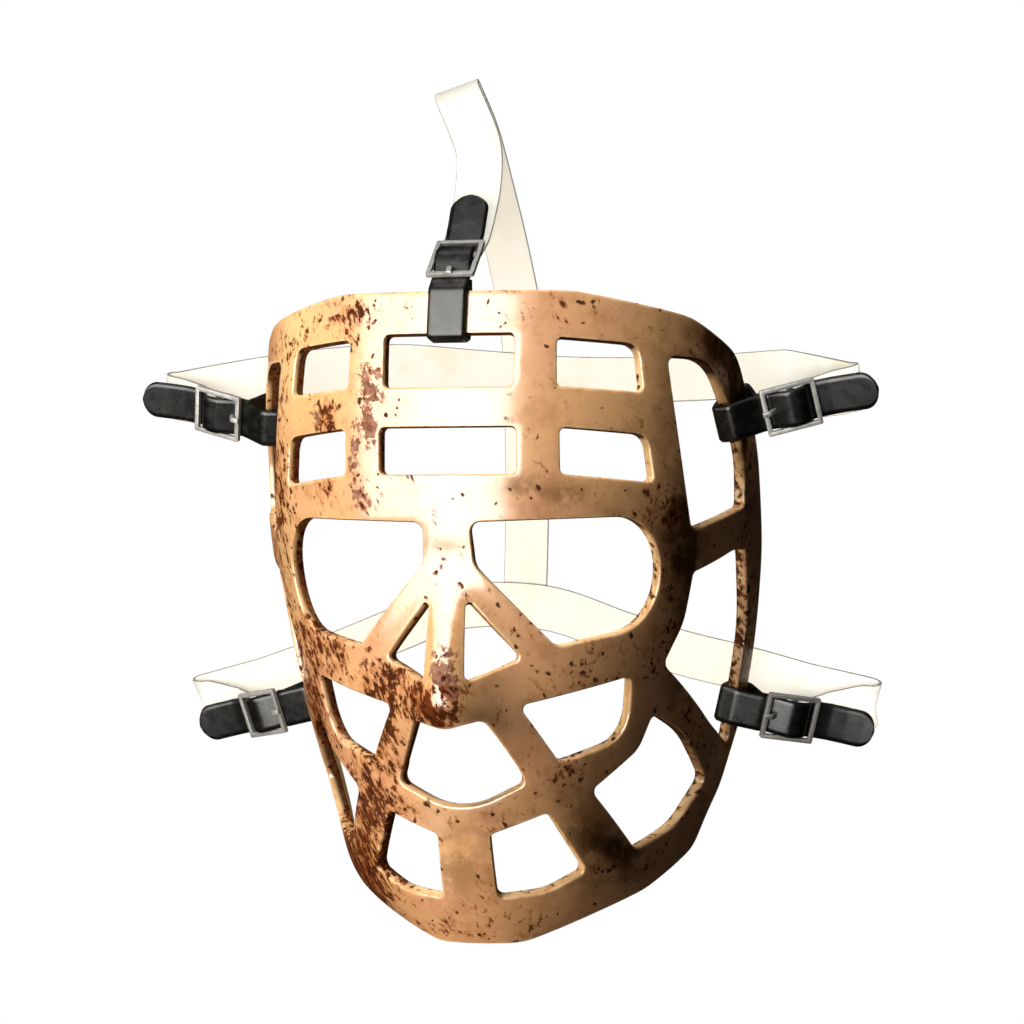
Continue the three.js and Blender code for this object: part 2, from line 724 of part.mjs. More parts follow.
// Webbing from the top buckle, up over the crown and down the back to the lower strap
const TOP_FOLD = table(FOLD, [[29, 0, -4.2]]);
const TOP_RUN = table(RUN, [
  [0, -39.5, 114, 0],
  [0, -29.5, 128, 0],
  [0, -27.5, 144, 0],
  [-5.8, -23.5, 158, 12],
  [-10.6, -20.5, 167.4, 18],
  [-12.2, -16.5, 170.7, 18],
  [-12.2, -11.5, 168.4, 18],
  [-11, 8, 155, 15],
  [-10, 31, 131, 8],
  [-10, 53, 109, 4],
  [-9, 64.5, 90, 2],
  [-7.5, 69.6, 68, 0],
  [-6.5, 69.6, 30, 0],
  [-6.5, 69.6, -3, 0],
  [-8, 69.6, -49.5, 0],
]);

function sideStrapSolid(tab, fold, rows) {
  const RUN_SAMPLES = 36;
  const right = hookStations(tab, fold);
  const left = right.map(mirrorStation).reverse();
  const strap = ribbon([...right, ...runStations(rows, RUN_SAMPLES), ...left], WEBBING);
  return strap.subtract(slotIn(tab)).subtract(slotIn(mirroredTab(tab)));
}

function topStrapSolid(tab) {
  const RUN_SAMPLES = 44;
  const start = hookStations(tab, TOP_FOLD);
  const turned = start.map((station) => ({ ...station, across: station.across.clone().negate() }));
  return ribbon([...turned, ...runStations(TOP_RUN, RUN_SAMPLES)], WEBBING).subtract(slotIn(tab));
}

// Materials, from the finish of each piece
const COATED_SHELL = new THREE.MeshStandardMaterial({ color: '#c8966a', roughness: 0.35, metalness: 0.1 });
const BLACK_LEATHER = new THREE.MeshStandardMaterial({ color: '#15130f', roughness: 0.5, metalness: 0 });
const GREY_STEEL = new THREE.MeshStandardMaterial({ color: '#8a8884', roughness: 0.35, metalness: 1 });
const CREAM_WEBBING = new THREE.MeshStandardMaterial({ color: '#f1eadb', roughness: 0.85, metalness: 0 });

function piece(name, solid, material) {
  const mesh = new THREE.Mesh(geometryOf(solid), material);
  mesh.name = name;
  return mesh;
}

function tabGroup(tab, side) {
  const label = side ? `${tab.name}_${side}` : tab.name;
  const group = new THREE.Group();
  group.applyMatrix4(tabMatrix(side === 'left' ? mirroredTab(tab) : tab));
  group.add(piece(`tab_${label}`, leatherSolid(tab), BLACK_LEATHER));
  group.add(piece(`buckle_${label}`, buckleSolid(), GREY_STEEL));
  group.add(piece(`tongue_${label}`, tongueSolid(), GREY_STEEL));
  return group;
}

const mask = new THREE.Group();
mask.add(piece('shell', shellSolid(), COATED_SHELL));
TABS.forEach((tab) => {
  (tab.mirrored ? ['left', 'right'] : ['']).forEach((side) => mask.add(tabGroup(tab, side)));
});
const [upperTab, lowerTab, topTab] = TABS;
mask.add(piece('strap_upper', sideStrapSolid(upperTab, UPPER_FOLD, UPPER_RUN), CREAM_WEBBING));
mask.add(piece('strap_lower', sideStrapSolid(lowerTab, LOWER_FOLD, LOWER_RUN), CREAM_WEBBING));
mask.add(piece('strap_top', topStrapSolid(topTab), CREAM_WEBBING));

export default mask;
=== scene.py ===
import json
import math

import bpy
import numpy as np
from mathutils import Matrix, Vector
from mathutils.geometry import delaunay_2d_cdt
from mathutils.kdtree import KDTree

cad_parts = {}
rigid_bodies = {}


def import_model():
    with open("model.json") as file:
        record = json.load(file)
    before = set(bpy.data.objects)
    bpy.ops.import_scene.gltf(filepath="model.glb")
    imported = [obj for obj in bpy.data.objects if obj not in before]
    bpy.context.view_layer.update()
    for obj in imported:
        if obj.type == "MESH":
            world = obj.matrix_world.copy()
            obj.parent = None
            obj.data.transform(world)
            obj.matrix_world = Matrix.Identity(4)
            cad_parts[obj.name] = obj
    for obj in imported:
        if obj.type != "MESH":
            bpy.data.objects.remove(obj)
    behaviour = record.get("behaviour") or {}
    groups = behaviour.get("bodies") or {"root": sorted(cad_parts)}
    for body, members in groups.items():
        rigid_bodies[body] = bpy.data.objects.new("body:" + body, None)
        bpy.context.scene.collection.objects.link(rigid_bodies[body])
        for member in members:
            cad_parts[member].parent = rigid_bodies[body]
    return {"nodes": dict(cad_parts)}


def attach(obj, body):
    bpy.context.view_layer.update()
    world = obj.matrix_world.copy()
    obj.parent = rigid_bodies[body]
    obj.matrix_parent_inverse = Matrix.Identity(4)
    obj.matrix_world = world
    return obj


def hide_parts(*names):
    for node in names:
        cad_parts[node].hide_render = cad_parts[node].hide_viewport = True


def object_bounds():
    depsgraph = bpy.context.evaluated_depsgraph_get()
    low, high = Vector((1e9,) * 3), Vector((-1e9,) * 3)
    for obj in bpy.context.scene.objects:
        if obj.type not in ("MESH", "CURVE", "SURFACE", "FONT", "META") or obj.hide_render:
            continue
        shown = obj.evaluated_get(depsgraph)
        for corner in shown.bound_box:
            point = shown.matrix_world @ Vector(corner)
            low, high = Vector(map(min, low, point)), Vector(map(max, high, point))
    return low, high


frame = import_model()
cad_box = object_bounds()

# Shapes are worked out in millimetres and turned into metres when a mesh is made
MM = 0.001
TINY = 1e-6
MIRROR = np.array([-1.0, 1.0, 1.0])

# Sizes that the solids have too
WALL = 5.0
GAP = 0.35
LOOP_GAP = 0.7
LEATHER = 1.8
WEBBING_WIDTH = 19.0
WEBBING_HOOK_WIDTH = 13.4
WEBBING = 1.5
BUCKLE_LENGTH = 22.4
BUCKLE_BAR = 1.8
CENTRE_BAR_X = 12.6
CENTRE_BAR_DROP = 1.6
CENTRE_BAR_RADIUS = 1.0

# Bars and layers in a buckle: distances out from its edge next to the shell or to the front of its
# middle, and the radius of the webbing's hook
BAR_HALF = BUCKLE_BAR / 2
OUTER_BAR_X = BUCKLE_LENGTH - BAR_HALF
UNDER_BAR = -(BAR_HALF + GAP + LEATHER / 2)
HOOK_RADIUS = CENTRE_BAR_RADIUS + GAP + WEBBING / 2
OVER_HOOK = -CENTRE_BAR_DROP + HOOK_RADIUS + WEBBING / 2 + GAP + LEATHER / 2
BACK_LAYER = UNDER_BAR - LEATHER - GAP
WEBBING_LAYER = UNDER_BAR - LEATHER / 2 - LOOP_GAP - WEBBING / 2

# How round the shell's edges are, and how finely its outlines and faces are cut
EDGE_ROUND = 0.8
EDGE_CUTS = 4
EDGE_STEP = 1.6
ARC_STEP = math.radians(15)
CORNER_ROOM = 0.49
SHORTEST_SIDE = 0.01
FACE_STEP = 2.2
FACE_ROW_STEP = FACE_STEP * 0.866
FACE_CLEAR = 1.3
GRID_ROUND = (-174, 175)
GRID_HEIGHTS = (-176, 92)
ANGLE_STEP = 0.02
NORMAL_REACH = 0.4

# Kinds of points on the shell
OUTER_FACE, INNER_FACE, RIM_WALL, OPENING_WALL = range(4)

# Wear and painted light and shade on the shell: the most in one place, the share on the inner face,
# the rust on the walls, how far an edge is rubbed, and the depth from which a point is off the outer
# face
MOST_WEAR = 1.4
INNER_WEAR = 0.5
WALL_RUST = 0.42
EDGE_RUB = 1.6
SURFACE_DEPTH = 0.01

# Painted shade on the walls of the openings: the least on their inner lips, and at their tops how far
# down a wall has to face, the depth where it starts and the depth over which it grows
LIP_SHADE = 0.4
SHADE_ABOVE = 0.65
SHADE_START = 0.05
SHADE_FADE = 0.3

# Horizontal sections of the face: height, reach ahead of the origin, half width,
# and how far their middle is behind the origin
REACH, HALF_WIDTH, MIDDLE = 1, 2, 3
FACE = np.array([
    [-175, 33, 44, 58],
    [-150, 47.5, 73, 70],
    [-120, 58, 84, 76.5],
    [-90, 66.5, 92.5, 75],
    [-60, 72, 98, 57],
    [-30, 75, 100.5, 41],
    [0, 79, 102, 31],
    [30, 79.5, 101.5, 23],
    [60, 77, 99.5, 18],
    [105, 69, 95, 13],
], float)

# Nose: height, how far it stands ahead of the face, and how far it spreads
NOSE_RISE, NOSE_SPREAD = 1, 2
NOSE = np.array([
    [-100, 0, 20],
    [-90, 8, 20],
    [-78, 17, 18],
    [-66, 15.5, 16],
    [-50, 10, 14],
    [-34, 4, 12],
    [-20, -0.6, 11],
    [-8, 0, 11],
    [4, 0, 11],
], float)

# Outlines: distance round the face from the midline, height, corner radius. One half is listed.
OUTER_EDGE = [
    (0, 87.3, 0), (48, 86, 80), (103, 76.5, 60), (138, 62.5, 26), (164.5, 25, 40), (169, -14, 50),
    (155, -82, 90), (139.5, -112, 40), (117, -137, 25), (82.5, -152.4, 60), (57.5, -159.6, 60),
    (18.5, -171.4, 40), (0, -172, 0),
]
MIDDLE_OPENINGS = [
    [(0, 69, 0), (26.8, 69, 2.2), (26.6, 48.4, 2.2), (0, 48.4, 0)],
    [(0, 32.8, 0), (28, 32.8, 2.2), (28.2, 14.6, 2.2), (0, 14.6, 0)],
    [(0, -84.5, 12), (14.4, -80.5, 3), (27.3, -106.2, 3.5), (0, -118.5, 50)],
]
SIDE_OPENINGS = [
    [(43.1, 67.4, 2.2), (77, 64.8, 7), (79.8, 46.4, 2.2), (43.7, 48.6, 2.2)],
    [(44.9, 32.5, 2.2), (81.8, 29.6, 7), (85.2, 11.2, 2.2), (45.2, 14.6, 2.2)],
    [(9.5, -4, 4), (88.3, -1.6, 20), (86.8, -44.4, 25), (41.8, -52.4, 5), (10.3, -20.6, 8)],
    [(7.4, -32.5, 1.5), (28.2, -57, 2.2), (8.6, -65.6, 2)],
    [(26.6, -75.3, 2.5), (74.2, -64.6, 2.5), (73, -89, 25), (41.2, -98.2, 3)],
    [(34.6, -118, 2.5), (49.8, -142.2, 3), (31, -150.4, 30), (11.4, -152.4, 2.5), (11, -126.4, 2.5)],
    [(86.2, -80.4, 3), (106, -89.5, 40), (125.2, -108.6, 3.5), (104, -126, 45), (76, -135, 4),
     (54.4, -109.8, 3), (79, -94, 18)],
    [(91, 60.4, 3), (115.5, 59.8, 25), (143.8, 22.5, 25), (144.2, 2, 3.5), (105.2, -7.4, 3)],
    [(106.3, -24.3, 3), (134, -15.8, 40), (145.2, -14.2, 4), (150.4, -45, 60), (142.4, -95.4, 3),
     (124.7, -85.4, 60), (91, -60.4, 3.5), (101.5, -44, 30)],
]

# Places on the coat for wear, smudges and painted light and shade: distance round the face, height,
# spread round the face, spread in height, strength
RUST_PLACES = [
    (-34, 46, 8, 20, 0.45),
    (-56, 37, 7, 7, 1.3),
    (-38, 6, 6, 7, 0.55),
    (-50, 73, 16, 9, 0.55),
    (-72, 66, 12, 10, 0.4),
    (-38, 79, 9, 5, 0.6),
    (-12, 79, 8, 4, 0.6),
    (-55, 10, 6, 8, 0.5),
    (-95, 30, 20, 60, 0.4),
    (-96, 8, 16, 14, 0.3),
    (-68, -53, 20, 11, 0.7),
    (-46, -61, 13, 8, 0.4),
    (-90, -84, 16, 30, 0.9),
    (-33, -86, 10, 22, 0.9),
    (-52, -112, 17, 20, 0.8),
    (-84, -142, 26, 16, 1.4),
    (-56, -140, 13, 13, 0.8),
    (-54, -155, 20, 7, 0.7),
    (-28, -68, 11, 8, 0.8),
    (-9, -73, 10, 8, 1.25),
    (0, -79, 11, 5, 0.8),
    (6, -69, 6, 6, 0.6),
    (-16, -166, 26, 5, 0.4),
    (-28, -118, 14, 8, 0.5),
    (0, -34, 8, 24, 0.35),
    (26, -44, 12, 14, 0.3),
    (88, 0, 14, 12, 0.55),
    (94, -44, 14, 26, 0.5),
    (60, -62, 26, 8, 0.4),
    (118, -96, 22, 16, 0.5),
    (44, -104, 14, 14, 0.5),
    (8, -160, 30, 8, 0.2),
    (16, -126, 18, 8, 0.4),
    (64, -142, 20, 10, 0.4),
    (150, -20, 14, 70, 0.45),
    (120, 66, 30, 12, 0.35),
    (50, 78, 16, 6, 0.3),
    (-130, -40, 40, 60, 0.55),
]
BARE_PLACES = [
    (-33, 50, 7, 9, 0.9),
    (-34, 33, 6, 8, 0.9),
    (-40, 22, 3, 8, 0.7),
    (-38, 6, 6, 6, 0.9),
    (-60, 40, 7, 8, 0.65),
    (0, -61, 7, 8, 1.0),
    (5, -69, 5, 5, 0.7),
]
# Smudges of dirt, and painted shade that darkens the right temple, brow corner, cheek and jaw
SMUDGE_AND_SHADE_PLACES = [
    (30, 8, 9, 6, 1.0),
    (48, 7, 9, 5, 1.0),
    (64, 2, 6, 3, 0.4),
    (138, 50, 14, 22, 1.4),
    (152, -58, 10, 34, 0.9),
    (100, -8, 12, 18, 2.0),
    (102, -38, 10, 18, 1.0),
    (124, 68, 18, 11, 2.0),
    (141, 24, 8, 24, 1.5),
    (54, -126, 13, 13, 0.9),
    (70, -136, 16, 9, 1.1),
    (88, 40, 6, 40, 0.4),
    (44, -104, 14, 26, 0.4),
    (104, -66, 12, 26, 0.9),
    (74, -116, 16, 14, 0.4),
    (60, -146, 22, 10, 0.4),
    (-4, -140, 14, 14, 0.8),
    (14, -124, 16, 6, 0.5),
    (-70, 16, 12, 8, 0.6),
]
# Painted light that makes the left of the forehead and cheek paler
PAINTED_LIGHT_PLACES = [
    (-74, 74, 18, 12, 1.0),
    (-84, 50, 12, 26, 0.6),
    (-94, -16, 12, 26, 0.6),
    (-62, -22, 10, 16, 0.4),
]

# Tabs: edge of the buckle next to the shell, the ways out and across, and the part of the shell that
# the loop goes round, as distances round the face and heights
TABS = {
    "upper": ((110, -2, 38.5), (20.9, 6, 5.5), (-2.2, -6.3, 18.2), (118, 175), (16, 60)),
    "lower": ((103.3, 29.3, -82.7), (19.6, 11.6, -3.1), (4.1, -4.2, 19), (136, 172), (-106, -62)),
    "top": ((0, -71.6, 91.9), (0, 16.9, 13.7), (-1, 0, 0), (-12, 12), (66, 92)),
}

# Path of the leather, as distances out along the tab and to the front: its tail, under the outer bar,
# over the centre bar, under the bar next to the shell, and where its loop starts and ends.
# The last two say how finely the loop and the part of the shell in it are cut.
LEATHER_TAIL = [(46, 5.6), (41.5, 3.6), (35, 1), (28.5, -1.2)]
UNDER_OUTER_BAR = [1, -1.8]
OVER_CENTRE_BAR = [(4.6, -1.3), (2, -0.1), (0, 0), (-2, -0.1), (-4.6, -1.6)]
UNDER_INNER_BAR = [2.6, 0]
LOOP_START = -1.0
LOOP_END = 2
LOOP_SIDES = 16
BAR_STEP = 1.2

# The leather is a little wider than in the solids, with a round tip, a slightly raised middle
# and rubbed edges
LEATHER_WIDTH = 15.6
TIP_LENGTH = 6.5
TIP_START = 0.004
LEATHER_CROWN = 0.03
LEATHER_CUTS = 15
LEATHER_STEP = 0.7
LEATHER_EASE = 1
RUB_START = 0.88
RUB_WIDTH = 0.1

# The webbing has raised lengthwise cords
CORDS = 9
CORD_RISE = 0.04
CORD_CUTS = 8
WEBBING_STEP = 0.9
WEBBING_EASE = 2
RUN_CUTS = 8

# Share of half a strip's width over which its edge is rounded
STRIP_EDGE = 0.07

# Hook of the webbing round a centre bar: directions in degrees, where it lies flat, and where it widens
HOOK_TURNS = (60, 102, 144, 186, 228, 270)
HOOK_FLAT = CENTRE_BAR_X + 4.4
HOOK_WIDENING = (CENTRE_BAR_X + 2, BUCKLE_LENGTH + 3)

# Webbing: folds in a tab's own directions, and runs as x, y, z and lean in degrees
UPPER_FOLD = [
    (31, 0, -3.7), (38, 0, -2.9), (40.4, 0, -3.4), (41.5, 0, -5), (41, 0, -7), (38.6, 0, -8.9),
]
LOWER_FOLD = [
    (29, 2.4, -4), (36, 5.6, -1.9), (42.5, 9, 0.9), (45, 10.4, 1.4), (46, 11, 0.2), (45.4, 11, -1.8),
    (42, 10.8, -4.6),
]
TOP_FOLD = [(29, 0, -4.2)]
UPPER_RUN = [
    (112, 31, 56, 90), (86, 49, 55.5, 90), (45, 63, 55, 90), (10, 67, 56, 90), (-30, 67, 59.5, 90),
    (-60, 63.5, 62, 90), (-90, 48, 60, 90), (-112, 31, 56, 90),
]
LOWER_RUN = [
    (118, 54, -72.5, 90), (90, 61, -65.5, 90), (61, 65.5, -59, 90), (36, 67.3, -51.5, 90),
    (2, 67.5, -40.5, 90), (-38, 67.5, -40.5, 90), (-61, 66, -49, 90), (-88, 61.5, -60, 90),
    (-118, 54, -71, 90),
]
TOP_RUN = [
    (0, -39.5, 114, 0), (0, -29.5, 128, 0), (0, -27.5, 144, 0), (-5.8, -23.5, 158, 12),
    (-10.6, -20.5, 167.4, 18), (-12.2, -16.5, 170.7, 18), (-12.2, -11.5, 168.4, 18), (-11, 8, 155, 15),
    (-10, 31, 131, 8), (-10, 53, 109, 4), (-9, 64.5, 90, 2), (-7.5, 69.6, 68, 0), (-6.5, 69.6, 30, 0),
    (-6.5, 69.6, -3, 0), (-8, 69.6, -49.5, 0),
]

# Easing of the steel's edges: lengths in metres, cuts, and the least angle
STEEL_WELD = 0.00001
STEEL_EASE = 0.00035
STEEL_EASE_CUTS = 3
STEEL_EASE_ANGLE = math.radians(35)


def colour(r, g, b):
    """Shader colour from screen values of 0 to 255, by the usual screen curve."""
    linear = [((v / 255 + 0.055) / 1.055) ** 2.4 if v > 10 else v / 255 / 12.92 for v in (r, g, b)]
    return (*linear, 1.0)


# Colours of the coat, its wear and its painted light and shade, the leather, the steel and the webbing
COAT_PINK = colour(201, 150, 110)
COAT_YELLOW = colour(205, 158, 108)
COAT_BROWN = colour(172, 119, 76)
PAINTED_LIGHT_TAN = colour(206, 174, 122)
COAT_RUBBED = colour(228, 190, 140)
COAT_WALLS = colour(244, 208, 150)
# Smudge brown that is partly painted shade, dark painted shade for the right temple and jaw, and
# painted shade for the opening walls
SMUDGE_AND_SHADE_BROWN = colour(112, 78, 43)
PAINTED_SHADE_DARK = colour(46, 26, 11)
WALL_SHADE_BROWN = colour(40, 21, 10)
STAIN = colour(164, 90, 40)
BURNT = colour(104, 46, 18)
SCRAPED_DARK = colour(84, 50, 42)
SCRAPED_LIGHT = colour(136, 99, 84)
FLECK_STAIN = colour(146, 80, 36)
FLECK_DARK = colour(30, 8, 3)
FLECK_BROWN = colour(84, 32, 11)
LEATHER_DARK = colour(8, 8, 7)
LEATHER_SCUFFED = colour(28, 27, 25)
LEATHER_RUBBED = colour(58, 56, 51)
STEEL_LIGHT = colour(132, 131, 128)
STEEL_DULL = colour(100, 98, 95)
WEBBING_WHITE = colour(248, 245, 235)
WEBBING_STAIN = colour(236, 225, 194)
WEBBING_SHADE = colour(214, 204, 180)
WEBBING_SELVEDGE = colour(92, 88, 80)

# Slant and length of the flecks, detail of the noise that moves spots, roughness of the materials,
# and how tight the weave is along and across
FLECK_SLANT = math.radians(-32)
FLECK_LENGTH = 2.1
WARP_DETAIL = 3.0
COAT_ROUGH = 0.36
COAT_DULL_ROUGH = 0.74
LEATHER_ROUGH = 0.16
STEEL_ROUGH = 0.46
STEEL_DULL_ROUGH = 0.6
WEAVE_ALONG = 5.2
WEAVE_ACROSS = 58.0

# Camera at the photograph's angle: 15 degrees to the viewer's right of straight ahead, at brow height
VIEW_AZIMUTH = math.radians(15)
VIEW_ROLL = math.radians(0.26)
CAMERA_PLACE = (0.4205, -1.5487, 0.0)
CAMERA_CLIP = (0.05, 60.0)
SENSOR_WIDTH = 36.0
FOCAL_PIXELS = 3958.95
IMAGE_PIXELS = 1024

# Lights: name, azimuth and elevation in degrees, distance, width, height, power, colour
SHAPING_LIGHTS = [
    ("key", -22, 55, 1.3, 0.4, 0.4, 27, (1.0, 0.98, 0.94)),
    ("side_soft", -36, -4, 1.3, 0.5, 0.5, 9, (1.0, 0.97, 0.92)),
    ("low_soft", -50, -38, 1.4, 0.5, 0.5, 14, (1.0, 0.88, 0.74)),
    ("right_soft", 4, -16, 1.4, 0.5, 0.5, 1.8, (1.0, 0.94, 0.86)),
]
REFLECTED_CARDS = [
    ("front_card", -7, 4, 1.3, 1.0, 1.5, 100, (1.0, 0.98, 0.95)),
    ("side_card", -43, 10, 1.3, 0.7, 1.1, 36, (1.0, 0.97, 0.92)),
    ("top_card", -10, 78, 1.2, 0.7, 0.7, 5, (1.0, 0.98, 0.95)),
]
BACK_FILL = ("back_fill", 205, 35, 1.6, 1.2, 1.0, 20, (1.0, 0.98, 0.94))
WEBBING_LIGHTS = [
    ("webbing_front", 10, -4, 1.6, 1.4, 1.2, 40, (1.0, 0.99, 0.96)),
    ("webbing_left", -90, 12, 1.6, 1.4, 1.2, 10, (1.0, 0.99, 0.96)),
    ("webbing_right", 90, 12, 1.6, 1.4, 1.2, 10, (1.0, 0.99, 0.96)),
]

# What the lights look at, the surroundings, and how far the floor is under the mask and reaches
LIGHTS_AIM = (0, -0.03, -0.03)
WHITE = (1, 1, 1, 1)
DIM_COLOUR = (1.0, 0.82, 0.62, 1)
DIM_STRENGTH = 0.012
FLOOR_DROP = 0.12
FLOOR_REACH = 12.0


def column(rows, k, z):
    """Smooth value of one column of a table at heights z."""
    heights = rows[:, 0]
    values = rows[:, k]
    below = np.maximum(np.arange(len(rows)) - 1, 0)
    above = np.minimum(np.arange(len(rows)) + 1, len(rows) - 1)
    slopes = (values[above] - values[below]) / (heights[above] - heights[below])
    z = np.clip(z, heights[0], heights[-1])
    i = np.clip(np.searchsorted(heights, z) - 1, 0, len(rows) - 2)
    span = heights[i + 1] - heights[i]
    t = (z - heights[i]) / span
    rise = (2 * t**3 - 3 * t**2 + 1) * values[i] + (3 * t**2 - 2 * t**3) * values[i + 1]
    return rise + span * ((t**3 - 2 * t**2 + t) * slopes[i] + (t**3 - t**2) * slopes[i + 1])


def face_points(u, z):
    """Points of the outer face at distances u round it and heights z."""
    half = column(FACE, HALF_WIDTH, z)
    centre = column(FACE, MIDDLE, z)
    depth = centre + column(FACE, REACH, z)
    angle = np.zeros_like(u)
    left = np.abs(u)
    middle = ANGLE_STEP / 2
    while left.max() > 0:
        length = ANGLE_STEP * np.hypot(half * math.cos(middle), depth * math.sin(middle))
        part = np.minimum(left, length)
        angle += ANGLE_STEP * part / length
        left = left - part
        middle += ANGLE_STEP
    x = half * np.sin(np.sign(u) * angle)
    within = (z > NOSE[0, 0]) & (z < NOSE[-1, 0])
    nose = within * column(NOSE, NOSE_RISE, z) * np.exp(-((x / column(NOSE, NOSE_SPREAD, z)) ** 2))
    return np.stack([x, centre - depth * np.cos(angle) - nose, z], 1)


def shell_points(u, z, depth):
    """Points at a depth under the outer face."""
    across = face_points(u + NORMAL_REACH, z) - face_points(u - NORMAL_REACH, z)
    up = face_points(u, z + NORMAL_REACH) - face_points(u, z - NORMAL_REACH)
    normal = np.cross(across, up)
    normal /= np.linalg.norm(normal, axis=1)[:, None]
    return face_points(u, z) - normal * np.asarray(depth).reshape(-1, 1)


def turned(v, angle):
    """A flat direction turned anticlockwise."""
    c, s = math.cos(angle), math.sin(angle)
    return np.array([c * v[0] - s * v[1], s * v[0] + c * v[1]])


def outline(corners):
    """Closed outline with rounded corners, anticlockwise seen from the front."""
    points = []
    for i, (u, z, r) in enumerate(corners):
        here = np.array([u, z], float)
        back = np.array(corners[i - 1][:2], float) - here
        ahead = np.array(corners[(i + 1) % len(corners)][:2], float) - here
        room = CORNER_ROOM * min(np.linalg.norm(back), np.linalg.norm(ahead))
        back /= np.linalg.norm(back)
        ahead /= np.linalg.norm(ahead)
        half = math.acos(np.clip(back @ ahead, -1, 1)) / 2
        tangent = min(r / math.tan(half), room)
        radius = tangent * math.tan(half)
        bisector = back + ahead
        centre = here + bisector / np.linalg.norm(bisector) * radius / math.sin(half)
        turn = math.pi - 2 * half
        steps = max(1, math.ceil(turn / ARC_STEP), math.ceil(turn * radius / EDGE_STEP))
        start = here + back * tangent - centre
        side = -math.copysign(1, back[0] * ahead[1] - back[1] * ahead[0])
        points += [turned(start, side * turn * k / steps) + centre for k in range(steps + 1)]
    points = np.array(points)
    after = np.roll(points, -1, 0)
    if np.sum(points[:, 0] * after[:, 1] - points[:, 1] * after[:, 0]) < 0:
        points = points[::-1]
    cut = []
    for a, b in zip(points, np.roll(points, -1, 0)):
        length = np.linalg.norm(b - a)
        parts = math.ceil(length / EDGE_STEP) if length > SHORTEST_SIDE else 0
        cut += [a + (b - a) * k / parts for k in range(parts)]
    return np.array(cut)


def mirrored(corners):
    """Corners on the other side of the midline."""
    return [(-u, z, r) for u, z, r in corners]


def whole(half):
    """Outline across the midline from its half."""
    inner = [c for c in half if c[0] != 0 or c[2] != 0]
    return outline(inner + mirrored([c for c in inner if c[0] != 0])[::-1])


def inside(loop, places):
    """True for places inside a closed outline."""
    odd = np.zeros(len(places), bool)
    u, z = places[:, 0], places[:, 1]
    for a, b in zip(loop, np.roll(loop, -1, 0)):
        if a[1] != b[1]:
            crosses = (a[1] > z) != (b[1] > z)
            odd ^= crosses & (u < a[0] + (z - a[1]) * (b[0] - a[0]) / (b[1] - a[1]))
    return odd


def between(outer, holes, places):
    """True for places inside the outer outline and outside all the holes."""
    found = inside(outer, places)
    for hole in holes:
        found &= ~inside(hole, places)
    return found


def dress(piece, slot, node):
    """Put a piece into the scene with its slot's material, in place of a node."""
    bpy.context.scene.collection.objects.link(piece)
    piece.data.materials.append(materials[slot])
    piece.data.polygons.foreach_set("use_smooth", [True] * len(piece.data.polygons))
    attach(piece, "root")
    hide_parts(node)


def new_piece(name, points, faces, slot, node):
    """Smooth mesh piece from points in millimetres that stands for a node."""
    mesh = bpy.data.meshes.new(name)
    mesh.from_pydata((np.asarray(points) * MM).tolist(), [], faces)
    mesh.update()
    piece = bpy.data.objects.new(name, mesh)
    dress(piece, slot, node)
    return piece


def add_values(piece, name, values):
    """A named number at each of a piece's points, for its material."""
    attribute = piece.data.attributes.new(name, "FLOAT", "POINT")
    attribute.data.foreach_set("value", np.asarray(values, np.float32))


def spread(rows, places):
    """Soft patches summed over a table of places, up to the most wear."""
    u, z = places[:, 0], places[:, 1]
    total = np.zeros(len(places))
    for cu, cz, su, sz, strength in rows:
        total += strength * np.exp(-((u - cu) / su) ** 2 - ((z - cz) / sz) ** 2)
    return np.clip(total, 0, MOST_WEAR)


def edge_normals(loop):
    """Directions from an edge into the material."""
    along = np.roll(loop, -1, 0) - np.roll(loop, 1, 0)
    along /= np.linalg.norm(along, axis=1)[:, None]
    return np.stack([-along[:, 1], along[:, 0]], 1)


def edge_profile():
    """Rounded edge from the outer face to the inner one, as offsets into the material and depths."""
    quarter = [math.pi / 2 * k / EDGE_CUTS for k in range(EDGE_CUTS + 1)]
    rows = []
    for q in quarter[1:]:
        rows.append((EDGE_ROUND * (1 - math.sin(q)), EDGE_ROUND * (1 - math.cos(q))))
    for q in quarter[:-1]:
        rows.append((EDGE_ROUND * (1 - math.cos(q)), WALL - EDGE_ROUND * (1 - math.sin(q))))
    return rows


def nearest(tree, places):
    """Number and distance of the edge point nearest to each place."""
    found = [tree.find((u, z, 0)) for u, z in places]
    return np.array([number for _, number, _ in found]), np.array([far for _, _, far in found])


def face_grid(tree, edges, normals):
    """Places in even rows over the face, on the material's side of the nearest edge and clear of it."""
    heights = np.arange(*GRID_HEIGHTS, FACE_ROW_STEP)
    rounds = np.arange(*GRID_ROUND, FACE_STEP)
    grid = np.array([(u + (k % 2) * FACE_STEP / 2, z) for k, z in enumerate(heights) for u in rounds])
    grid = grid[between(outer_edge, openings, grid)]
    number, far = nearest(tree, grid)
    on_material = np.sum((grid - edges[number]) * normals[number], axis=1) > 0
    return grid[(far > FACE_CLEAR) & on_material]


def face_triangles(rims, places):
    """Triangles of the outer face between its rims, whose points come first in the places."""
    constraints = []
    first = 0
    for rim in rims:
        size = len(rim)
        constraints += [(first + i, first + (i + 1) % size) for i in range(size)]
        first += size
    _, _, cells, sources, _, _ = delaunay_2d_cdt([Vector(p) for p in places], constraints, [], 0, TINY)
    triangles = np.array([numbers[0] for numbers in sources])[np.array(cells)]
    triangles = triangles[between(rims[0], rims[1:], places[triangles].mean(1))]
    a, b, c = (places[triangles[:, k]] for k in range(3))
    area = (b[:, 0] - a[:, 0]) * (c[:, 1] - a[:, 1]) - (b[:, 1] - a[:, 1]) * (c[:, 0] - a[:, 0])
    return triangles[area > TINY]


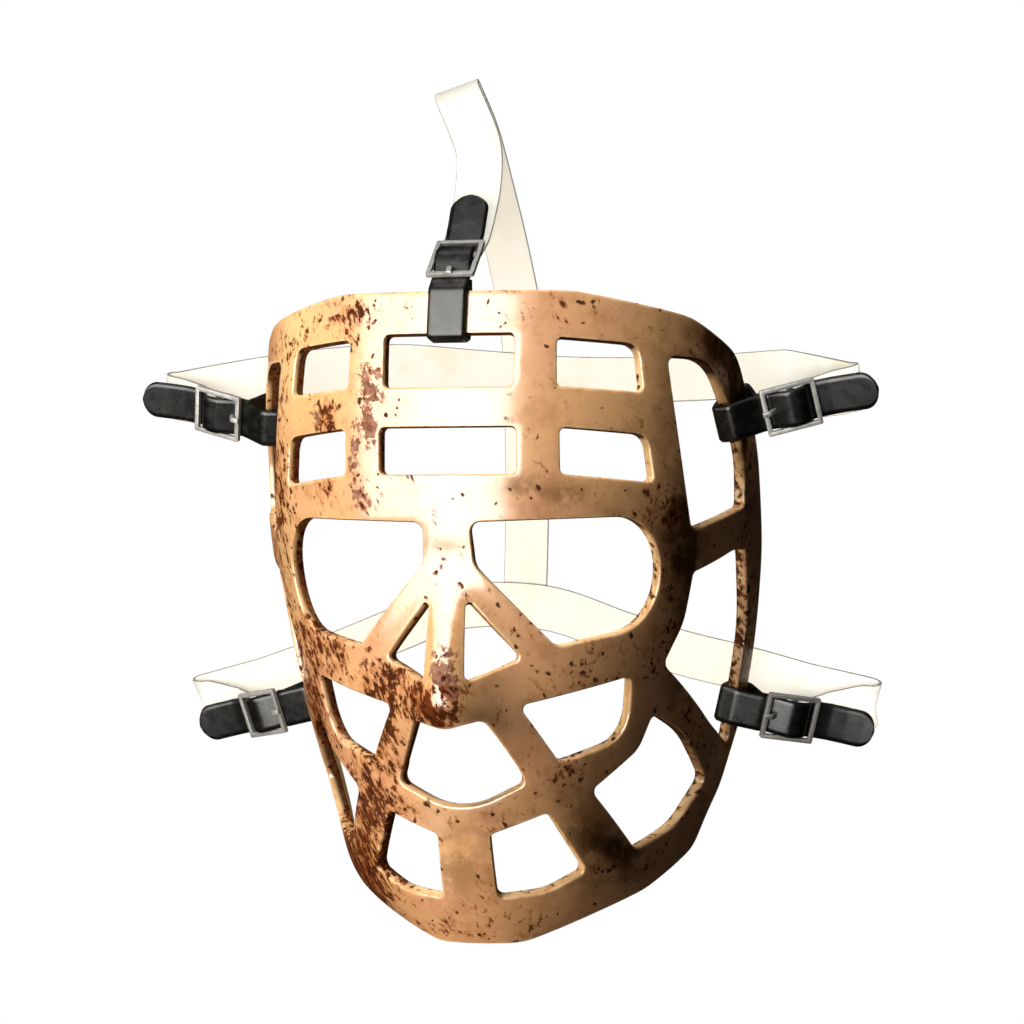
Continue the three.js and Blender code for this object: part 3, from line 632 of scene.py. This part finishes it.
def shell_mesh():
    """Faces of the moulding and what is known of its points.

    That is their places, depths, kinds, directions into the material and distances from an edge.
    The two faces have the same triangles, and a rounded strip joins them round each edge.
    """
    loops = [outer_edge] + [loop[::-1] for loop in openings]
    normals = [edge_normals(loop) for loop in loops]
    rims = [loop + EDGE_ROUND * normal for loop, normal in zip(loops, normals)]
    edges = np.concatenate(rims)
    tree = KDTree(len(edges))
    for i, (u, z) in enumerate(edges):
        tree.insert((u, z, 0), i)
    tree.balance()

    face = np.concatenate([edges, face_grid(tree, edges, np.concatenate(normals))])
    triangles = face_triangles(rims, face)
    size = len(face)
    faces = triangles.tolist() + (triangles[:, ::-1] + size).tolist()
    places = [face, face]
    depths = [np.zeros(size), np.full(size, WALL)]
    kinds = [np.full(size, OUTER_FACE), np.full(size, INNER_FACE)]
    directions = [np.zeros((2 * size, 2))]
    total = 2 * size
    first = 0
    for loop, normal in zip(loops, normals):
        count = len(loop)
        rings = [np.arange(first, first + count)]
        for offset, depth in edge_profile():
            places.append(loop + offset * normal)
            depths.append(np.full(count, depth))
            kinds.append(np.full(count, RIM_WALL if loop is outer_edge else OPENING_WALL))
            directions.append(normal)
            rings.append(np.arange(total, total + count))
            total += count
        rings.append(np.arange(first + size, first + size + count))
        for upper, lower in zip(rings, rings[1:]):
            faces += np.stack([np.roll(upper, -1), upper, lower, np.roll(lower, -1)], 1).tolist()
        first += count
    places = np.concatenate(places)
    far = nearest(tree, places)[1]
    return faces, places, np.concatenate(depths), np.concatenate(kinds), np.concatenate(directions), far


def shell_piece():
    """The moulding, with the wear and the painted light and shade of each of its points."""
    faces, places, depth, kind, direction, edge_far = shell_mesh()
    points = shell_points(places[:, 0], places[:, 1], depth)
    piece = new_piece("shell_coated", points, faces, "coated_shell", "shell")

    rubbed = np.exp(-((edge_far / EDGE_RUB) ** 2))
    add_values(piece, "edge", np.where(depth > SURFACE_DEPTH, 1.0, rubbed))
    deep = np.clip((depth - EDGE_ROUND) / (WALL - 2 * EDGE_ROUND), 0, 1)
    add_values(piece, "deep", deep)

    lip = np.where(depth > WALL - EDGE_ROUND, LIP_SHADE, 0.0)
    on_left = np.clip(-direction[:, 0], lip, 1) * np.clip(2 * deep, 0, 1)
    on_top = np.clip((direction[:, 1] - SHADE_ABOVE) / (1 - SHADE_ABOVE), 0, 1)
    on_top = on_top * np.clip((depth - SHADE_START) / SHADE_FADE, 0, 1)
    # Painted shade on the walls at the left and the top of each opening, and on their inner lips
    add_values(piece, "painted_wall_shade", (kind == OPENING_WALL) * np.maximum(on_left, on_top))

    wear = np.where(kind == INNER_FACE, INNER_WEAR, 1.0)
    on_wall = deep * ((kind == RIM_WALL) | (kind == OPENING_WALL))
    add_values(piece, "rust", wear * spread(RUST_PLACES, places) + WALL_RUST * on_wall)
    add_values(piece, "bare", wear * spread(BARE_PLACES, places))
    # Smudges, with painted shade on the right side
    add_values(piece, "smudge_and_shade", wear * spread(SMUDGE_AND_SHADE_PLACES, places))
    # Painted light on the left side
    add_values(piece, "pale", spread(PAINTED_LIGHT_PLACES, places))


class Nodes:
    """Short way to write a material's node tree."""

    def __init__(self, name):
        self.material = bpy.data.materials.new(name)
        self.material.use_nodes = True
        self.tree = self.material.node_tree
        self.tree.nodes.clear()
        self.surface = self.add("ShaderNodeBsdfPrincipled")
        self.add("ShaderNodeOutputMaterial", {"Surface": self.surface.outputs[0]})
        self.place = self.add("ShaderNodeTexCoord").outputs["Object"]

    def add(self, kind, inputs=None, **settings):
        """New node with its settings made and its inputs fed."""
        node = self.tree.nodes.new(kind)
        for key, value in settings.items():
            setattr(node, key, value)
        for key, value in (inputs or {}).items():
            self.feed(node.inputs[key], value)
        return node

    def feed(self, socket, value):
        """Give a socket another node's output or a value of its own."""
        if isinstance(value, bpy.types.NodeSocket):
            self.tree.links.new(value, socket)
        else:
            socket.default_value = value

    def maths(self, operation, a, b=0.0, clamp=False):
        return self.add("ShaderNodeMath", {0: a, 1: b}, operation=operation, use_clamp=clamp).outputs[0]

    def plus(self, a, b):
        return self.maths("ADD", a, b)

    def times(self, value, weight):
        return self.maths("MULTIPLY", value, weight)

    def most(self, a, b):
        return self.maths("MAXIMUM", a, b)

    def value(self, name):
        """A number that add_values gave to the piece's points."""
        return self.add("ShaderNodeAttribute", attribute_name=name).outputs["Fac"]

    def stretched(self, scale):
        """Place scaled along each axis."""
        return self.add("ShaderNodeMapping", {"Scale": scale, "Vector": self.place}).outputs[0]

    def leaned(self, angle, length):
        """Place turned about the depth axis and drawn out, for slanting marks."""
        inputs = {"Rotation": (0, angle, 0), "Scale": (1, 1, length), "Vector": self.place}
        return self.add("ShaderNodeMapping", inputs, vector_type="TEXTURE").outputs[0]

    def warped(self, scale, amount):
        """Place moved a little by noise, so that spots aren't round."""
        inputs = {"Scale": scale, "Detail": WARP_DETAIL, "Vector": self.place}
        noise = self.add("ShaderNodeTexNoise", inputs).outputs["Color"]
        inputs = {0: noise, "Scale": amount}
        shift = self.add("ShaderNodeVectorMath", inputs, operation="SCALE").outputs[0]
        return self.add("ShaderNodeVectorMath", {0: self.place, 1: shift}, operation="ADD").outputs[0]

    def noise(self, scale, detail=4.0, rough=0.55, vector=None, distortion=0.0):
        inputs = {"Scale": scale, "Detail": detail, "Roughness": rough, "Distortion": distortion}
        inputs["Vector"] = vector or self.place
        return self.add("ShaderNodeTexNoise", inputs).outputs["Fac"]

    def cells(self, scale, vector):
        """Distance to the nearest of scattered points, and a colour of that point's own."""
        node = self.add("ShaderNodeTexVoronoi", {"Scale": scale, "Vector": vector})
        return node.outputs["Distance"], node.outputs["Color"]

    def green(self, tone):
        return self.add("ShaderNodeSeparateColor", {0: tone}).outputs["Green"]

    def ramp(self, value, low, high):
        """Smooth step from 0 at low to 1 at high."""
        inputs = {"Value": value, "From Min": low, "From Max": high}
        return self.add("ShaderNodeMapRange", inputs, interpolation_type="SMOOTHSTEP").outputs[0]

    def mix(self, a, b, share, kind="RGBA"):
        inputs = {"Factor": share, "A": a, "B": b}
        return self.add("ShaderNodeMix", inputs, data_type=kind).outputs["Result"]

    def layer(self, base, tone, mask, share):
        """Base colour with a share of another where the mask is."""
        return self.mix(base, tone, self.times(mask, share))

    def bump(self, height, distance, strength=1.0, normal=None):
        inputs = {"Strength": strength, "Distance": distance, "Height": height}
        if normal is not None:
            inputs["Normal"] = normal
        return self.add("ShaderNodeBump", inputs).outputs[0]

    def set(self, **values):
        """Inputs of the surface, with _ for a space in their names."""
        for name, value in values.items():
            self.feed(self.surface.inputs[name.replace("_", " ")], value)


def coated_shell():
    """Worn tan coat with rust and dirt."""
    n = Nodes("coated_shell")
    bare = n.value("bare")
    edge = n.value("edge")
    deep = n.value("deep")
    rust = n.value("rust")
    smudge_and_shade = n.value("smudge_and_shade")

    # Tan coat, uneven on a large scale, and painted light that makes the left side paler
    tint = n.ramp(n.noise(scale=24, detail=3), low=0.35, high=0.65)
    base = n.mix(COAT_PINK, COAT_YELLOW, tint)
    cloud = n.ramp(n.noise(scale=90, detail=7, rough=0.68), low=0.45, high=0.68)
    base = n.layer(base, COAT_BROWN, cloud, share=0.6)
    base = n.layer(base, PAINTED_LIGHT_TAN, n.value("pale"), share=0.9)

    # Soft brown smudges, partly painted shade on the right side, with darker painted shade in the
    # heaviest
    patchy = n.ramp(n.noise(scale=95, detail=6, rough=0.62), low=0.36, high=0.56)
    base = n.layer(base, SMUDGE_AND_SHADE_BROWN, n.times(smudge_and_shade, patchy), share=0.8)
    # Painted shade, darkest where the smudge-and-shade values are highest, at the right temple and jaw
    painted_shade_depth = n.plus(smudge_and_shade, n.times(n.noise(scale=70, detail=6, rough=0.66), weight=1.1))
    base = n.layer(base, PAINTED_SHADE_DARK, n.ramp(painted_shade_depth, low=1.45, high=2.05), share=0.85)

    # Edges rubbed pale here and there, and paler walls in the openings
    rub = n.plus(edge, n.times(n.noise(scale=150), weight=0.9))
    base = n.layer(base, COAT_RUBBED, n.ramp(rub, low=1.25, high=1.6), share=0.6)
    base = n.layer(base, COAT_WALLS, deep, share=0.9)

    # Painted shade on the walls at the left and the top of each opening, and on its inner lip
    painted_wall_shade = n.ramp(n.value("painted_wall_shade"), low=0.0, high=0.5)
    base = n.layer(base, WALL_SHADE_BROWN, painted_wall_shade, share=0.96)

    # Orange-brown stains in the heavy wear
    stain = n.plus(n.times(rust, weight=0.2), n.noise(scale=190, detail=6, rough=0.68))
    base = n.layer(base, STAIN, n.ramp(stain, low=0.6, high=0.84), share=0.6)
    burnt = n.plus(n.times(rust, weight=0.5), n.noise(scale=120, detail=5, rough=0.62))
    base = n.layer(base, BURNT, n.ramp(burnt, low=1.06, high=1.26), share=0.8)

    # Bare purple-brown patches with ragged outlines
    fine_noise = n.times(n.noise(scale=560, rough=0.6), weight=0.42)
    ragged = n.plus(n.noise(scale=150, detail=6, rough=0.66), fine_noise)
    worn = n.ramp(n.plus(n.times(bare, weight=0.31), ragged), low=0.84, high=0.92)
    worn = n.times(worn, n.ramp(bare, low=0.1, high=0.35))
    scrape = n.ramp(n.noise(scale=380, detail=5, rough=0.7), low=0.38, high=0.62)
    base = n.layer(base, n.mix(SCRAPED_DARK, SCRAPED_LIGHT, scrape), worn, share=0.92)

    # Slanting dark flecks in clumps where the wear is heavy, with a softer brown stain round them
    slant = n.leaned(FLECK_SLANT, FLECK_LENGTH)
    grain = n.noise(scale=450, detail=5, rough=0.64, vector=slant, distortion=0.4)
    clump = n.times(n.noise(scale=105, rough=0.6), weight=0.65)
    crowd = n.plus(n.times(n.ramp(rust, low=-0.1, high=1.0), weight=0.27), clump)
    speckle = n.plus(grain, crowd)
    base = n.layer(base, FLECK_STAIN, n.ramp(speckle, low=0.92, high=1.07), share=0.62)
    flecks = n.ramp(speckle, low=1.03, high=1.1)

    # Small uneven spots all over, more of them near the wear
    far, chance = n.cells(scale=270, vector=n.warped(scale=330, amount=0.0042))
    size = n.ramp(n.plus(n.green(chance), n.times(rust, weight=0.5)), low=0.62, high=1.3)
    spots = n.ramp(far, low=n.times(size, weight=0.54), high=n.times(size, weight=0.3))
    spots = n.times(spots, n.ramp(size, low=0.02, high=0.1))
    marks = n.most(flecks, spots)
    dark = n.mix(FLECK_DARK, FLECK_BROWN, n.ramp(n.noise(scale=300, detail=3), low=0.4, high=0.65))
    base = n.layer(base, dark, marks, share=0.92)

    # Glossy over a slightly wavy surface, and dull where it is marked, bare, smudged, on the walls, or
    # under painted shade
    walls_smudge_and_shade = n.times(n.most(deep, smudge_and_shade), weight=0.8)
    dull = n.maths("MAXIMUM", n.most(marks, worn), n.most(walls_smudge_and_shade, painted_wall_shade), clamp=True)
    uneven = n.times(n.noise(scale=420, detail=5, rough=0.6), weight=0.16)
    rough = n.plus(n.mix(COAT_ROUGH, COAT_DULL_ROUGH, dull, "FLOAT"), uneven)
    pits = n.times(marks, weight=0.6)
    relief = n.maths("SUBTRACT", n.times(n.noise(scale=900, detail=3), weight=0.1), pits)
    pitted = n.bump(relief, distance=0.00025)
    wavy = n.bump(n.noise(scale=34, detail=2), distance=0.0012, strength=0.3, normal=pitted)
    coat = n.maths("SUBTRACT", 1.0, dull)
    n.set(Base_Color=base, Roughness=rough, Normal=wavy, Coat_Weight=coat)
    n.set(Coat_Roughness=0.21, IOR=1.05)
    return n.material


def black_leather():
    """Black leather with a fine grain, scuffs and rubbed edges."""
    n = Nodes("black_leather")
    pores, _ = n.cells(scale=950, vector=n.warped(scale=700, amount=0.0006))
    grain = n.plus(n.times(pores, weight=0.8), n.times(n.noise(scale=2600, detail=3), weight=0.3))
    scuff = n.ramp(n.noise(scale=240, detail=6, rough=0.66), low=0.48, high=0.66)
    rub = n.times(n.value("rim"), n.ramp(n.noise(scale=340), low=0.35, high=0.6))
    base = n.mix(LEATHER_DARK, LEATHER_SCUFFED, scuff)
    base = n.layer(base, LEATHER_RUBBED, rub, share=0.3)
    rough = n.plus(LEATHER_ROUGH, n.times(n.noise(scale=210, detail=6, rough=0.66), weight=0.26))
    n.set(Base_Color=base, Roughness=rough, Normal=n.bump(grain, distance=0.00005, strength=0.3))
    n.set(IOR=1.3)
    return n.material


def grey_steel():
    """Grey steel, dull in patches, with fine scratches."""
    n = Nodes("grey_steel")
    dull = n.ramp(n.noise(scale=300, detail=6, rough=0.65), low=0.42, high=0.68)
    base = n.mix(STEEL_LIGHT, STEEL_DULL, dull)
    fine = n.times(n.noise(scale=1500, detail=3), weight=0.08)
    rough = n.plus(n.mix(STEEL_ROUGH, STEEL_DULL_ROUGH, dull, "FLOAT"), fine)
    scratch = n.noise(scale=1400, detail=3, rough=0.6, vector=n.stretched((1, 1, 0.2)))
    n.set(Base_Color=base, Roughness=rough, Normal=n.bump(scratch, distance=0.00005, strength=0.5))
    n.set(Metallic=0.5)
    return n.material


def cream_webbing():
    """Off-white webbing with a fine weave and a dark line along each edge."""
    n = Nodes("cream_webbing")
    across = n.value("across")
    line = n.maths("SINE", n.times(n.value("along"), WEAVE_ALONG))
    pick = n.maths("SINE", n.times(across, WEAVE_ACROSS))
    weave = n.times(line, pick)
    stain = n.ramp(n.noise(scale=34, detail=5, rough=0.6), low=0.5, high=0.72)
    base = n.layer(WEBBING_WHITE, WEBBING_STAIN, stain, share=0.6)
    base = n.layer(base, WEBBING_SHADE, n.ramp(weave, low=0.2, high=0.9), share=0.12)
    selvedge = n.ramp(n.maths("ABSOLUTE", across), low=0.945, high=0.975)
    base = n.layer(base, WEBBING_SELVEDGE, selvedge, share=0.9)
    n.set(Base_Color=base, Normal=n.bump(weave, distance=0.00008, strength=0.4))
    n.set(Roughness=0.85, Sheen_Weight=0.25, Sheen_Roughness=0.5)
    return n.material


def tab_frame(name):
    """Origin of a right-hand tab and its directions out, across and to the front."""
    at, out, across = (np.array(v, float) for v in TABS[name][:3])
    out /= np.linalg.norm(out)
    across -= out * (across @ out)
    across /= np.linalg.norm(across)
    return at, np.array([out, across, np.cross(out, across)])


def convex_hull(points):
    """Corners of the tightest outline round flat points."""
    points = sorted(map(tuple, points))

    def chain(list_of_points):
        hull = []
        for p in list_of_points:
            while len(hull) > 1:
                a, b = hull[-2], hull[-1]
                if (b[0] - a[0]) * (p[1] - b[1]) - (b[1] - a[1]) * (p[0] - b[0]) > 0:
                    break
                hull.pop()
            hull.append(p)
        return hull[:-1]

    return chain(points) + chain(points[::-1])


def bar_section(name):
    """Section of the shell's bar under a tab, as distances out along the tab and to the front."""
    at, axes = tab_frame(name)
    (u0, u1), (z0, z1) = TABS[name][3:]
    grid = np.array([(u, z) for u in np.arange(u0, u1, BAR_STEP) for z in np.arange(z0, z1, BAR_STEP)])
    places = np.concatenate([grid[between(outer_edge, openings, grid)], outer_edge, *openings])
    u, z = places[:, 0], places[:, 1]
    places = places[(u >= u0) & (u <= u1) & (z >= z0) & (z <= z1)]
    points = np.concatenate([shell_points(places[:, 0], places[:, 1], d) for d in (0.0, WALL)])
    local = (points - at) @ axes.T
    return local[np.abs(local[:, 1]) < LEATHER_WIDTH / 2 + BAR_STEP][:, [0, 2]]


def loop_path(name):
    """Taut loop from the front layer, round the bar, to the back layer."""
    clear = LOOP_GAP + LEATHER / 2
    front, back = (LOOP_START, UNDER_BAR), (LOOP_START, BACK_LAYER)
    turns = np.linspace(0, 2 * math.pi, LOOP_SIDES + 1)[:-1]
    circle = [(clear * math.cos(a), clear * math.sin(a)) for a in turns]
    around = [tuple(p + np.array(c)) for p in bar_section(name) for c in circle]
    hull = convex_hull(around + [front, back])
    start = hull.index(front)
    return hull[start:] + hull[:start]


def leather_path(name):
    """Path of a tab's leather from its tail, through the buckle and round the shell's bar."""
    outer = [(OUTER_BAR_X + x, UNDER_BAR) for x in UNDER_OUTER_BAR]
    centre = [(CENTRE_BAR_X + x, OVER_HOOK + z) for x, z in OVER_CENTRE_BAR]
    inner = [(BAR_HALF + x, UNDER_BAR) for x in UNDER_INNER_BAR]
    end = [(BAR_HALF + LOOP_END, BACK_LAYER)]
    return LEATHER_TAIL + outer + centre + inner + loop_path(name) + end


def distances(points):
    """Distance of each point from the first, along a path."""
    return np.concatenate([[0], np.cumsum(np.linalg.norm(np.diff(points, axis=0), axis=1))])


def even_path(rows, axes, step, reach):
    """Rows at even steps along a path, and their distances along it.

    The first columns of the rows are places on so many axes. Corners are eased over the rows in reach.
    """
    rows = np.asarray(rows, float)
    lengths = distances(rows[:, :axes])
    at = np.linspace(0, lengths[-1], int(lengths[-1] / step))
    dense = np.stack([np.interp(at, lengths, values) for values in rows.T], 1)
    before = 2 * dense[0] - dense[reach:0:-1]
    after = 2 * dense[-1] - dense[-2:-reach - 2:-1]
    padded = np.concatenate([before, dense, after])
    weights = np.hanning(2 * reach + 3)[1:-1]
    weights /= weights.sum()
    return np.stack([np.convolve(values, weights, "valid") for values in padded.T], 1), at


def strip_section(thickness, cuts, relief):
    """Section of a strip with rounded edges, as shares of half the width and heights."""
    rows = []
    for side in (1, -1):
        for x in np.linspace(-1, 1, cuts):
            edge = min(1.0, (1 - abs(x)) / STRIP_EDGE)
            height = thickness / 2 * math.sqrt(1 - (1 - edge) ** 2) * relief(x)
            rows.append((x * side, height * side))
    keep = [row for i, row in enumerate(rows) if math.dist(row, rows[i - 1]) > TINY]
    return np.array(keep)[::-1]


def leather_relief(x):
    """Height of the leather across its width, as a share of its middle."""
    return 1 - LEATHER_CROWN + LEATHER_CROWN * (1 - x * x)


def webbing_relief(x):
    """Height of the webbing across its width, as a share of its cords."""
    return 1 - CORD_RISE + CORD_RISE * math.cos(math.pi * CORDS * (x + 1))


def strip_points(middles, across, widths, section):
    """Points of a strip along a path, one ring of its section after another."""
    along = np.gradient(middles, axis=0)
    along /= np.linalg.norm(along, axis=1)[:, None]
    across = across - along * np.sum(across * along, axis=1)[:, None]
    across /= np.linalg.norm(across, axis=1)[:, None]
    out = np.cross(along, across)
    sideways = widths[:, None] / 2 * section[None, :, 0]
    rings = middles[:, None, :] + across[:, None, :] * sideways[..., None]
    rings = rings + out[:, None, :] * section[None, :, 1][..., None]
    return rings.reshape(-1, 3)


def strip_faces(rings, size):
    """Faces between the rings of a strip, and at its two ends."""
    faces = []
    for i in range(rings - 1):
        for k in range(size):
            a, b = i * size + k, i * size + (k + 1) % size
            faces.append((a, b, b + size, a + size))
    faces.append(tuple(range(size))[::-1])
    faces.append(tuple(range((rings - 1) * size, rings * size)))
    return faces


def leather_piece(label, name, left):
    """Leather of one tab, mirrored for the left."""
    at, axes = tab_frame(name)
    path, _ = even_path(leather_path(name), axes=2, step=LEATHER_STEP, reach=LEATHER_EASE)
    middles = at + np.insert(path, 1, 0.0, axis=1) @ axes
    tip = np.clip(distances(path) / TIP_LENGTH, TIP_START, 1)
    widths = LEATHER_WIDTH * np.sqrt(1 - (1 - tip) ** 2)
    section = strip_section(LEATHER, LEATHER_CUTS, leather_relief)
    points = strip_points(middles, np.tile(axes[1], (len(middles), 1)), widths, section)
    faces = strip_faces(len(middles), len(section))
    if left:
        points = points * MIRROR
        faces = [face[::-1] for face in faces]
    piece = new_piece(f"tab_{label}_leather", points, faces, "black_leather", f"tab_{label}")
    rim = np.clip((np.abs(section[:, 0]) - RUB_START) / RUB_WIDTH, 0, 1)
    add_values(piece, "rim", np.tile(rim, len(middles)))


def steel_piece(node):
    """Copy of a steel node with its edges eased."""
    piece = bpy.data.objects.new(f"{node}_steel", frame["nodes"][node].data.copy())
    piece.data.materials.clear()
    weld = piece.modifiers.new("weld", "WELD")
    weld.merge_threshold = STEEL_WELD
    bevel = piece.modifiers.new("bevel", "BEVEL")
    bevel.width = STEEL_EASE
    bevel.segments = STEEL_EASE_CUTS
    bevel.limit_method = "ANGLE"
    bevel.angle_limit = STEEL_EASE_ANGLE
    bevel.harden_normals = True
    dress(piece, "grey_steel", node)


def hook_stations(name, fold):
    """Middles, directions across and widths of webbing from its hook out along the back of a tab."""
    at, axes = tab_frame(name)
    places = []
    for turn in HOOK_TURNS:
        a = math.radians(turn)
        x = CENTRE_BAR_X + HOOK_RADIUS * math.cos(a)
        places.append((x, 0, -CENTRE_BAR_DROP + HOOK_RADIUS * math.sin(a)))
    places += [(HOOK_FLAT, 0, WEBBING_LAYER), (OUTER_BAR_X, 0, WEBBING_LAYER)] + fold
    places = np.array(places, float)
    widths = np.interp(places[:, 0], HOOK_WIDENING, (WEBBING_HOOK_WIDTH, WEBBING_WIDTH))
    return at + places @ axes, np.tile(axes[1], (len(places), 1)), widths


def on_line(t, start, end, a, b):
    """Place at t on the line from a at start to b at end."""
    return (end - t) / (end - start) * a + (t - start) / (end - start) * b


def smooth_run(rows):
    """Stations of a free run, on a smooth curve through its places."""
    rows = np.array(rows, float)
    points = rows[:, :3]
    leans = rows[:, 3]
    first = 2 * points[0] - points[1]
    last = 2 * points[-1] - points[-2]
    p = np.concatenate([[first], points, [last]])
    middles, angles = [], []
    for i in range(1, len(p) - 2):
        knots = [0.0]
        for a, b in zip(p[i - 1:i + 2], p[i:i + 3]):
            knots.append(knots[-1] + math.sqrt(np.linalg.norm(b - a)))
        t0, t1, t2, t3 = knots
        for k in range(RUN_CUTS + (i == len(p) - 3)):
            t = t1 + (t2 - t1) * k / RUN_CUTS
            a1 = on_line(t, t0, t1, p[i - 1], p[i])
            a2 = on_line(t, t1, t2, p[i], p[i + 1])
            a3 = on_line(t, t2, t3, p[i + 1], p[i + 2])
            b1 = on_line(t, t0, t2, a1, a2)
            b2 = on_line(t, t1, t3, a2, a3)
            middles.append(on_line(t, t1, t2, b1, b2))
            angles.append(math.radians(leans[i - 1] + (leans[i] - leans[i - 1]) * k / RUN_CUTS))
    across = np.stack([np.cos(angles), np.zeros(len(angles)), np.sin(angles)], 1)
    return np.array(middles), across, np.full(len(middles), WEBBING_WIDTH)


def mirrored_back(stations):
    """Stations on the other side, from the far end back."""
    middles, across, widths = stations
    return middles[::-1] * MIRROR, across[::-1] * MIRROR, widths[::-1]


def webbing_piece(node, parts):
    """Strip of webbing through the stations of its parts."""
    middles, across, widths = (np.concatenate(group) for group in zip(*parts))
    stations = np.concatenate([middles, across, widths[:, None]], 1)
    eased, along = even_path(stations, axes=3, step=WEBBING_STEP, reach=WEBBING_EASE)
    section = strip_section(WEBBING, CORDS * CORD_CUTS + 1, webbing_relief)
    points = strip_points(eased[:, :3], eased[:, 3:6], eased[:, 6], section)
    faces = strip_faces(len(eased), len(section))
    piece = new_piece(f"{node}_webbing", points, faces, "cream_webbing", node)
    add_values(piece, "across", np.tile(section[:, 0], len(eased)))
    add_values(piece, "along", np.repeat(along, len(section)))


def area_light(name, azimuth, elevation, distance, width, height, power, tone):
    """Soft light that looks at the middle of the mask."""
    data = bpy.data.lights.new(name, "AREA")
    data.shape = "RECTANGLE"
    data.size = width
    data.size_y = height
    data.energy = power
    data.color = tone
    light = bpy.data.objects.new(name, data)
    bpy.context.scene.collection.objects.link(light)
    a, e = math.radians(azimuth), math.radians(elevation)
    back = Vector((math.sin(a) * math.cos(e), -math.cos(a) * math.cos(e), math.sin(e)))
    light.location = back * distance + Vector(LIGHTS_AIM)
    light.rotation_euler = (-back).to_track_quat("-Z", "Y").to_euler()
    return light


outer_edge = whole(OUTER_EDGE)
openings = [whole(half) for half in MIDDLE_OPENINGS]
openings += [outline(side) for side in SIDE_OPENINGS]
openings += [outline(mirrored(side)) for side in SIDE_OPENINGS]

materials = {
    "coated_shell": coated_shell(),
    "black_leather": black_leather(),
    "grey_steel": grey_steel(),
    "cream_webbing": cream_webbing(),
}

shell_piece()

for name in TABS:
    for side in ("",) if name == "top" else ("_left", "_right"):
        label = name + side
        leather_piece(label, name, side == "_left")
        steel_piece(f"buckle_{label}")
        steel_piece(f"tongue_{label}")

for name, fold, run in (("upper", UPPER_FOLD, UPPER_RUN), ("lower", LOWER_FOLD, LOWER_RUN)):
    hook = hook_stations(name, fold)
    webbing_piece(f"strap_{name}", [hook, smooth_run(run), mirrored_back(hook)])
hook_middles, hook_across, hook_widths = hook_stations("top", TOP_FOLD)
webbing_piece("strap_top", [(hook_middles, -hook_across, hook_widths), smooth_run(TOP_RUN)])

camera_data = bpy.data.cameras.new("camera")
camera_data.sensor_width = SENSOR_WIDTH
camera_data.lens = SENSOR_WIDTH * FOCAL_PIXELS / IMAGE_PIXELS
camera_data.clip_start, camera_data.clip_end = CAMERA_CLIP
camera = bpy.data.objects.new("camera", camera_data)
bpy.context.scene.collection.objects.link(camera)
camera.location = CAMERA_PLACE
ahead = Vector((-math.sin(VIEW_AZIMUTH), math.cos(VIEW_AZIMUTH), 0.0))
turn = Matrix.Rotation(VIEW_ROLL, 4, ahead) @ ahead.to_track_quat("-Z", "Y").to_matrix().to_4x4()
camera.rotation_euler = turn.to_euler()
bpy.context.scene.camera = camera

# The pale webbing has soft lights of its own in front and at both sides, and the lights that shape
# the shell pass it by
webbing_lit = bpy.data.collections.new("webbing_lit")
others_lit = bpy.data.collections.new("others_lit")
for item in bpy.context.scene.objects:
    if item.type == "MESH":
        lit = webbing_lit if item.name.endswith("_webbing") else others_lit
        lit.objects.link(item)

# The cards are seen only as reflections, and the other lights are never seen as one
for row in SHAPING_LIGHTS:
    light = area_light(*row)
    light.visible_glossy = False
    light.light_linking.receiver_collection = others_lit
for row in REFLECTED_CARDS:
    area_light(*row).visible_diffuse = False
area_light(*BACK_FILL).visible_glossy = False
for row in WEBBING_LIGHTS:
    light = area_light(*row)
    light.visible_glossy = False
    light.light_linking.receiver_collection = webbing_lit
    light.light_linking.blocker_collection = webbing_lit

# White surroundings as the camera sees them, and a dim warm light from them on the mask
world = bpy.data.worlds.new("surroundings")
bpy.context.scene.world = world
world.use_nodes = True
tree = world.node_tree
tree.nodes.clear()
seen = tree.nodes.new("ShaderNodeLightPath")
white = tree.nodes.new("ShaderNodeBackground")
white.inputs["Color"].default_value = WHITE
dim = tree.nodes.new("ShaderNodeBackground")
dim.inputs["Color"].default_value = DIM_COLOUR
dim.inputs["Strength"].default_value = DIM_STRENGTH
either = tree.nodes.new("ShaderNodeMixShader")
world_output = tree.nodes.new("ShaderNodeOutputWorld")
tree.links.new(seen.outputs["Is Camera Ray"], either.inputs[0])
tree.links.new(dim.outputs[0], either.inputs[1])
tree.links.new(white.outputs[0], either.inputs[2])
tree.links.new(either.outputs[0], world_output.inputs["Surface"])

# Plain pale floor
floor_z = cad_box[0].z - FLOOR_DROP
floor_mesh = bpy.data.meshes.new("floor")
ways = [(-1, -1), (1, -1), (1, 1), (-1, 1)]
floor_points = [(x * FLOOR_REACH, y * FLOOR_REACH, floor_z) for x, y in ways]
floor_mesh.from_pydata(floor_points, [], [(0, 1, 2, 3)])
floor = bpy.data.objects.new("floor", floor_mesh)
bpy.context.scene.collection.objects.link(floor)
paint = bpy.data.materials.new("floor_white")
paint.use_nodes = True
paint.node_tree.nodes.clear()
glow = paint.node_tree.nodes.new("ShaderNodeEmission")
floor_output = paint.node_tree.nodes.new("ShaderNodeOutputMaterial")
paint.node_tree.links.new(glow.outputs[0], floor_output.inputs["Surface"])
floor_mesh.materials.append(paint)
floor.visible_diffuse = False
floor.visible_glossy = False
floor.visible_shadow = False

bpy.context.scene.view_settings.view_transform = "Standard"
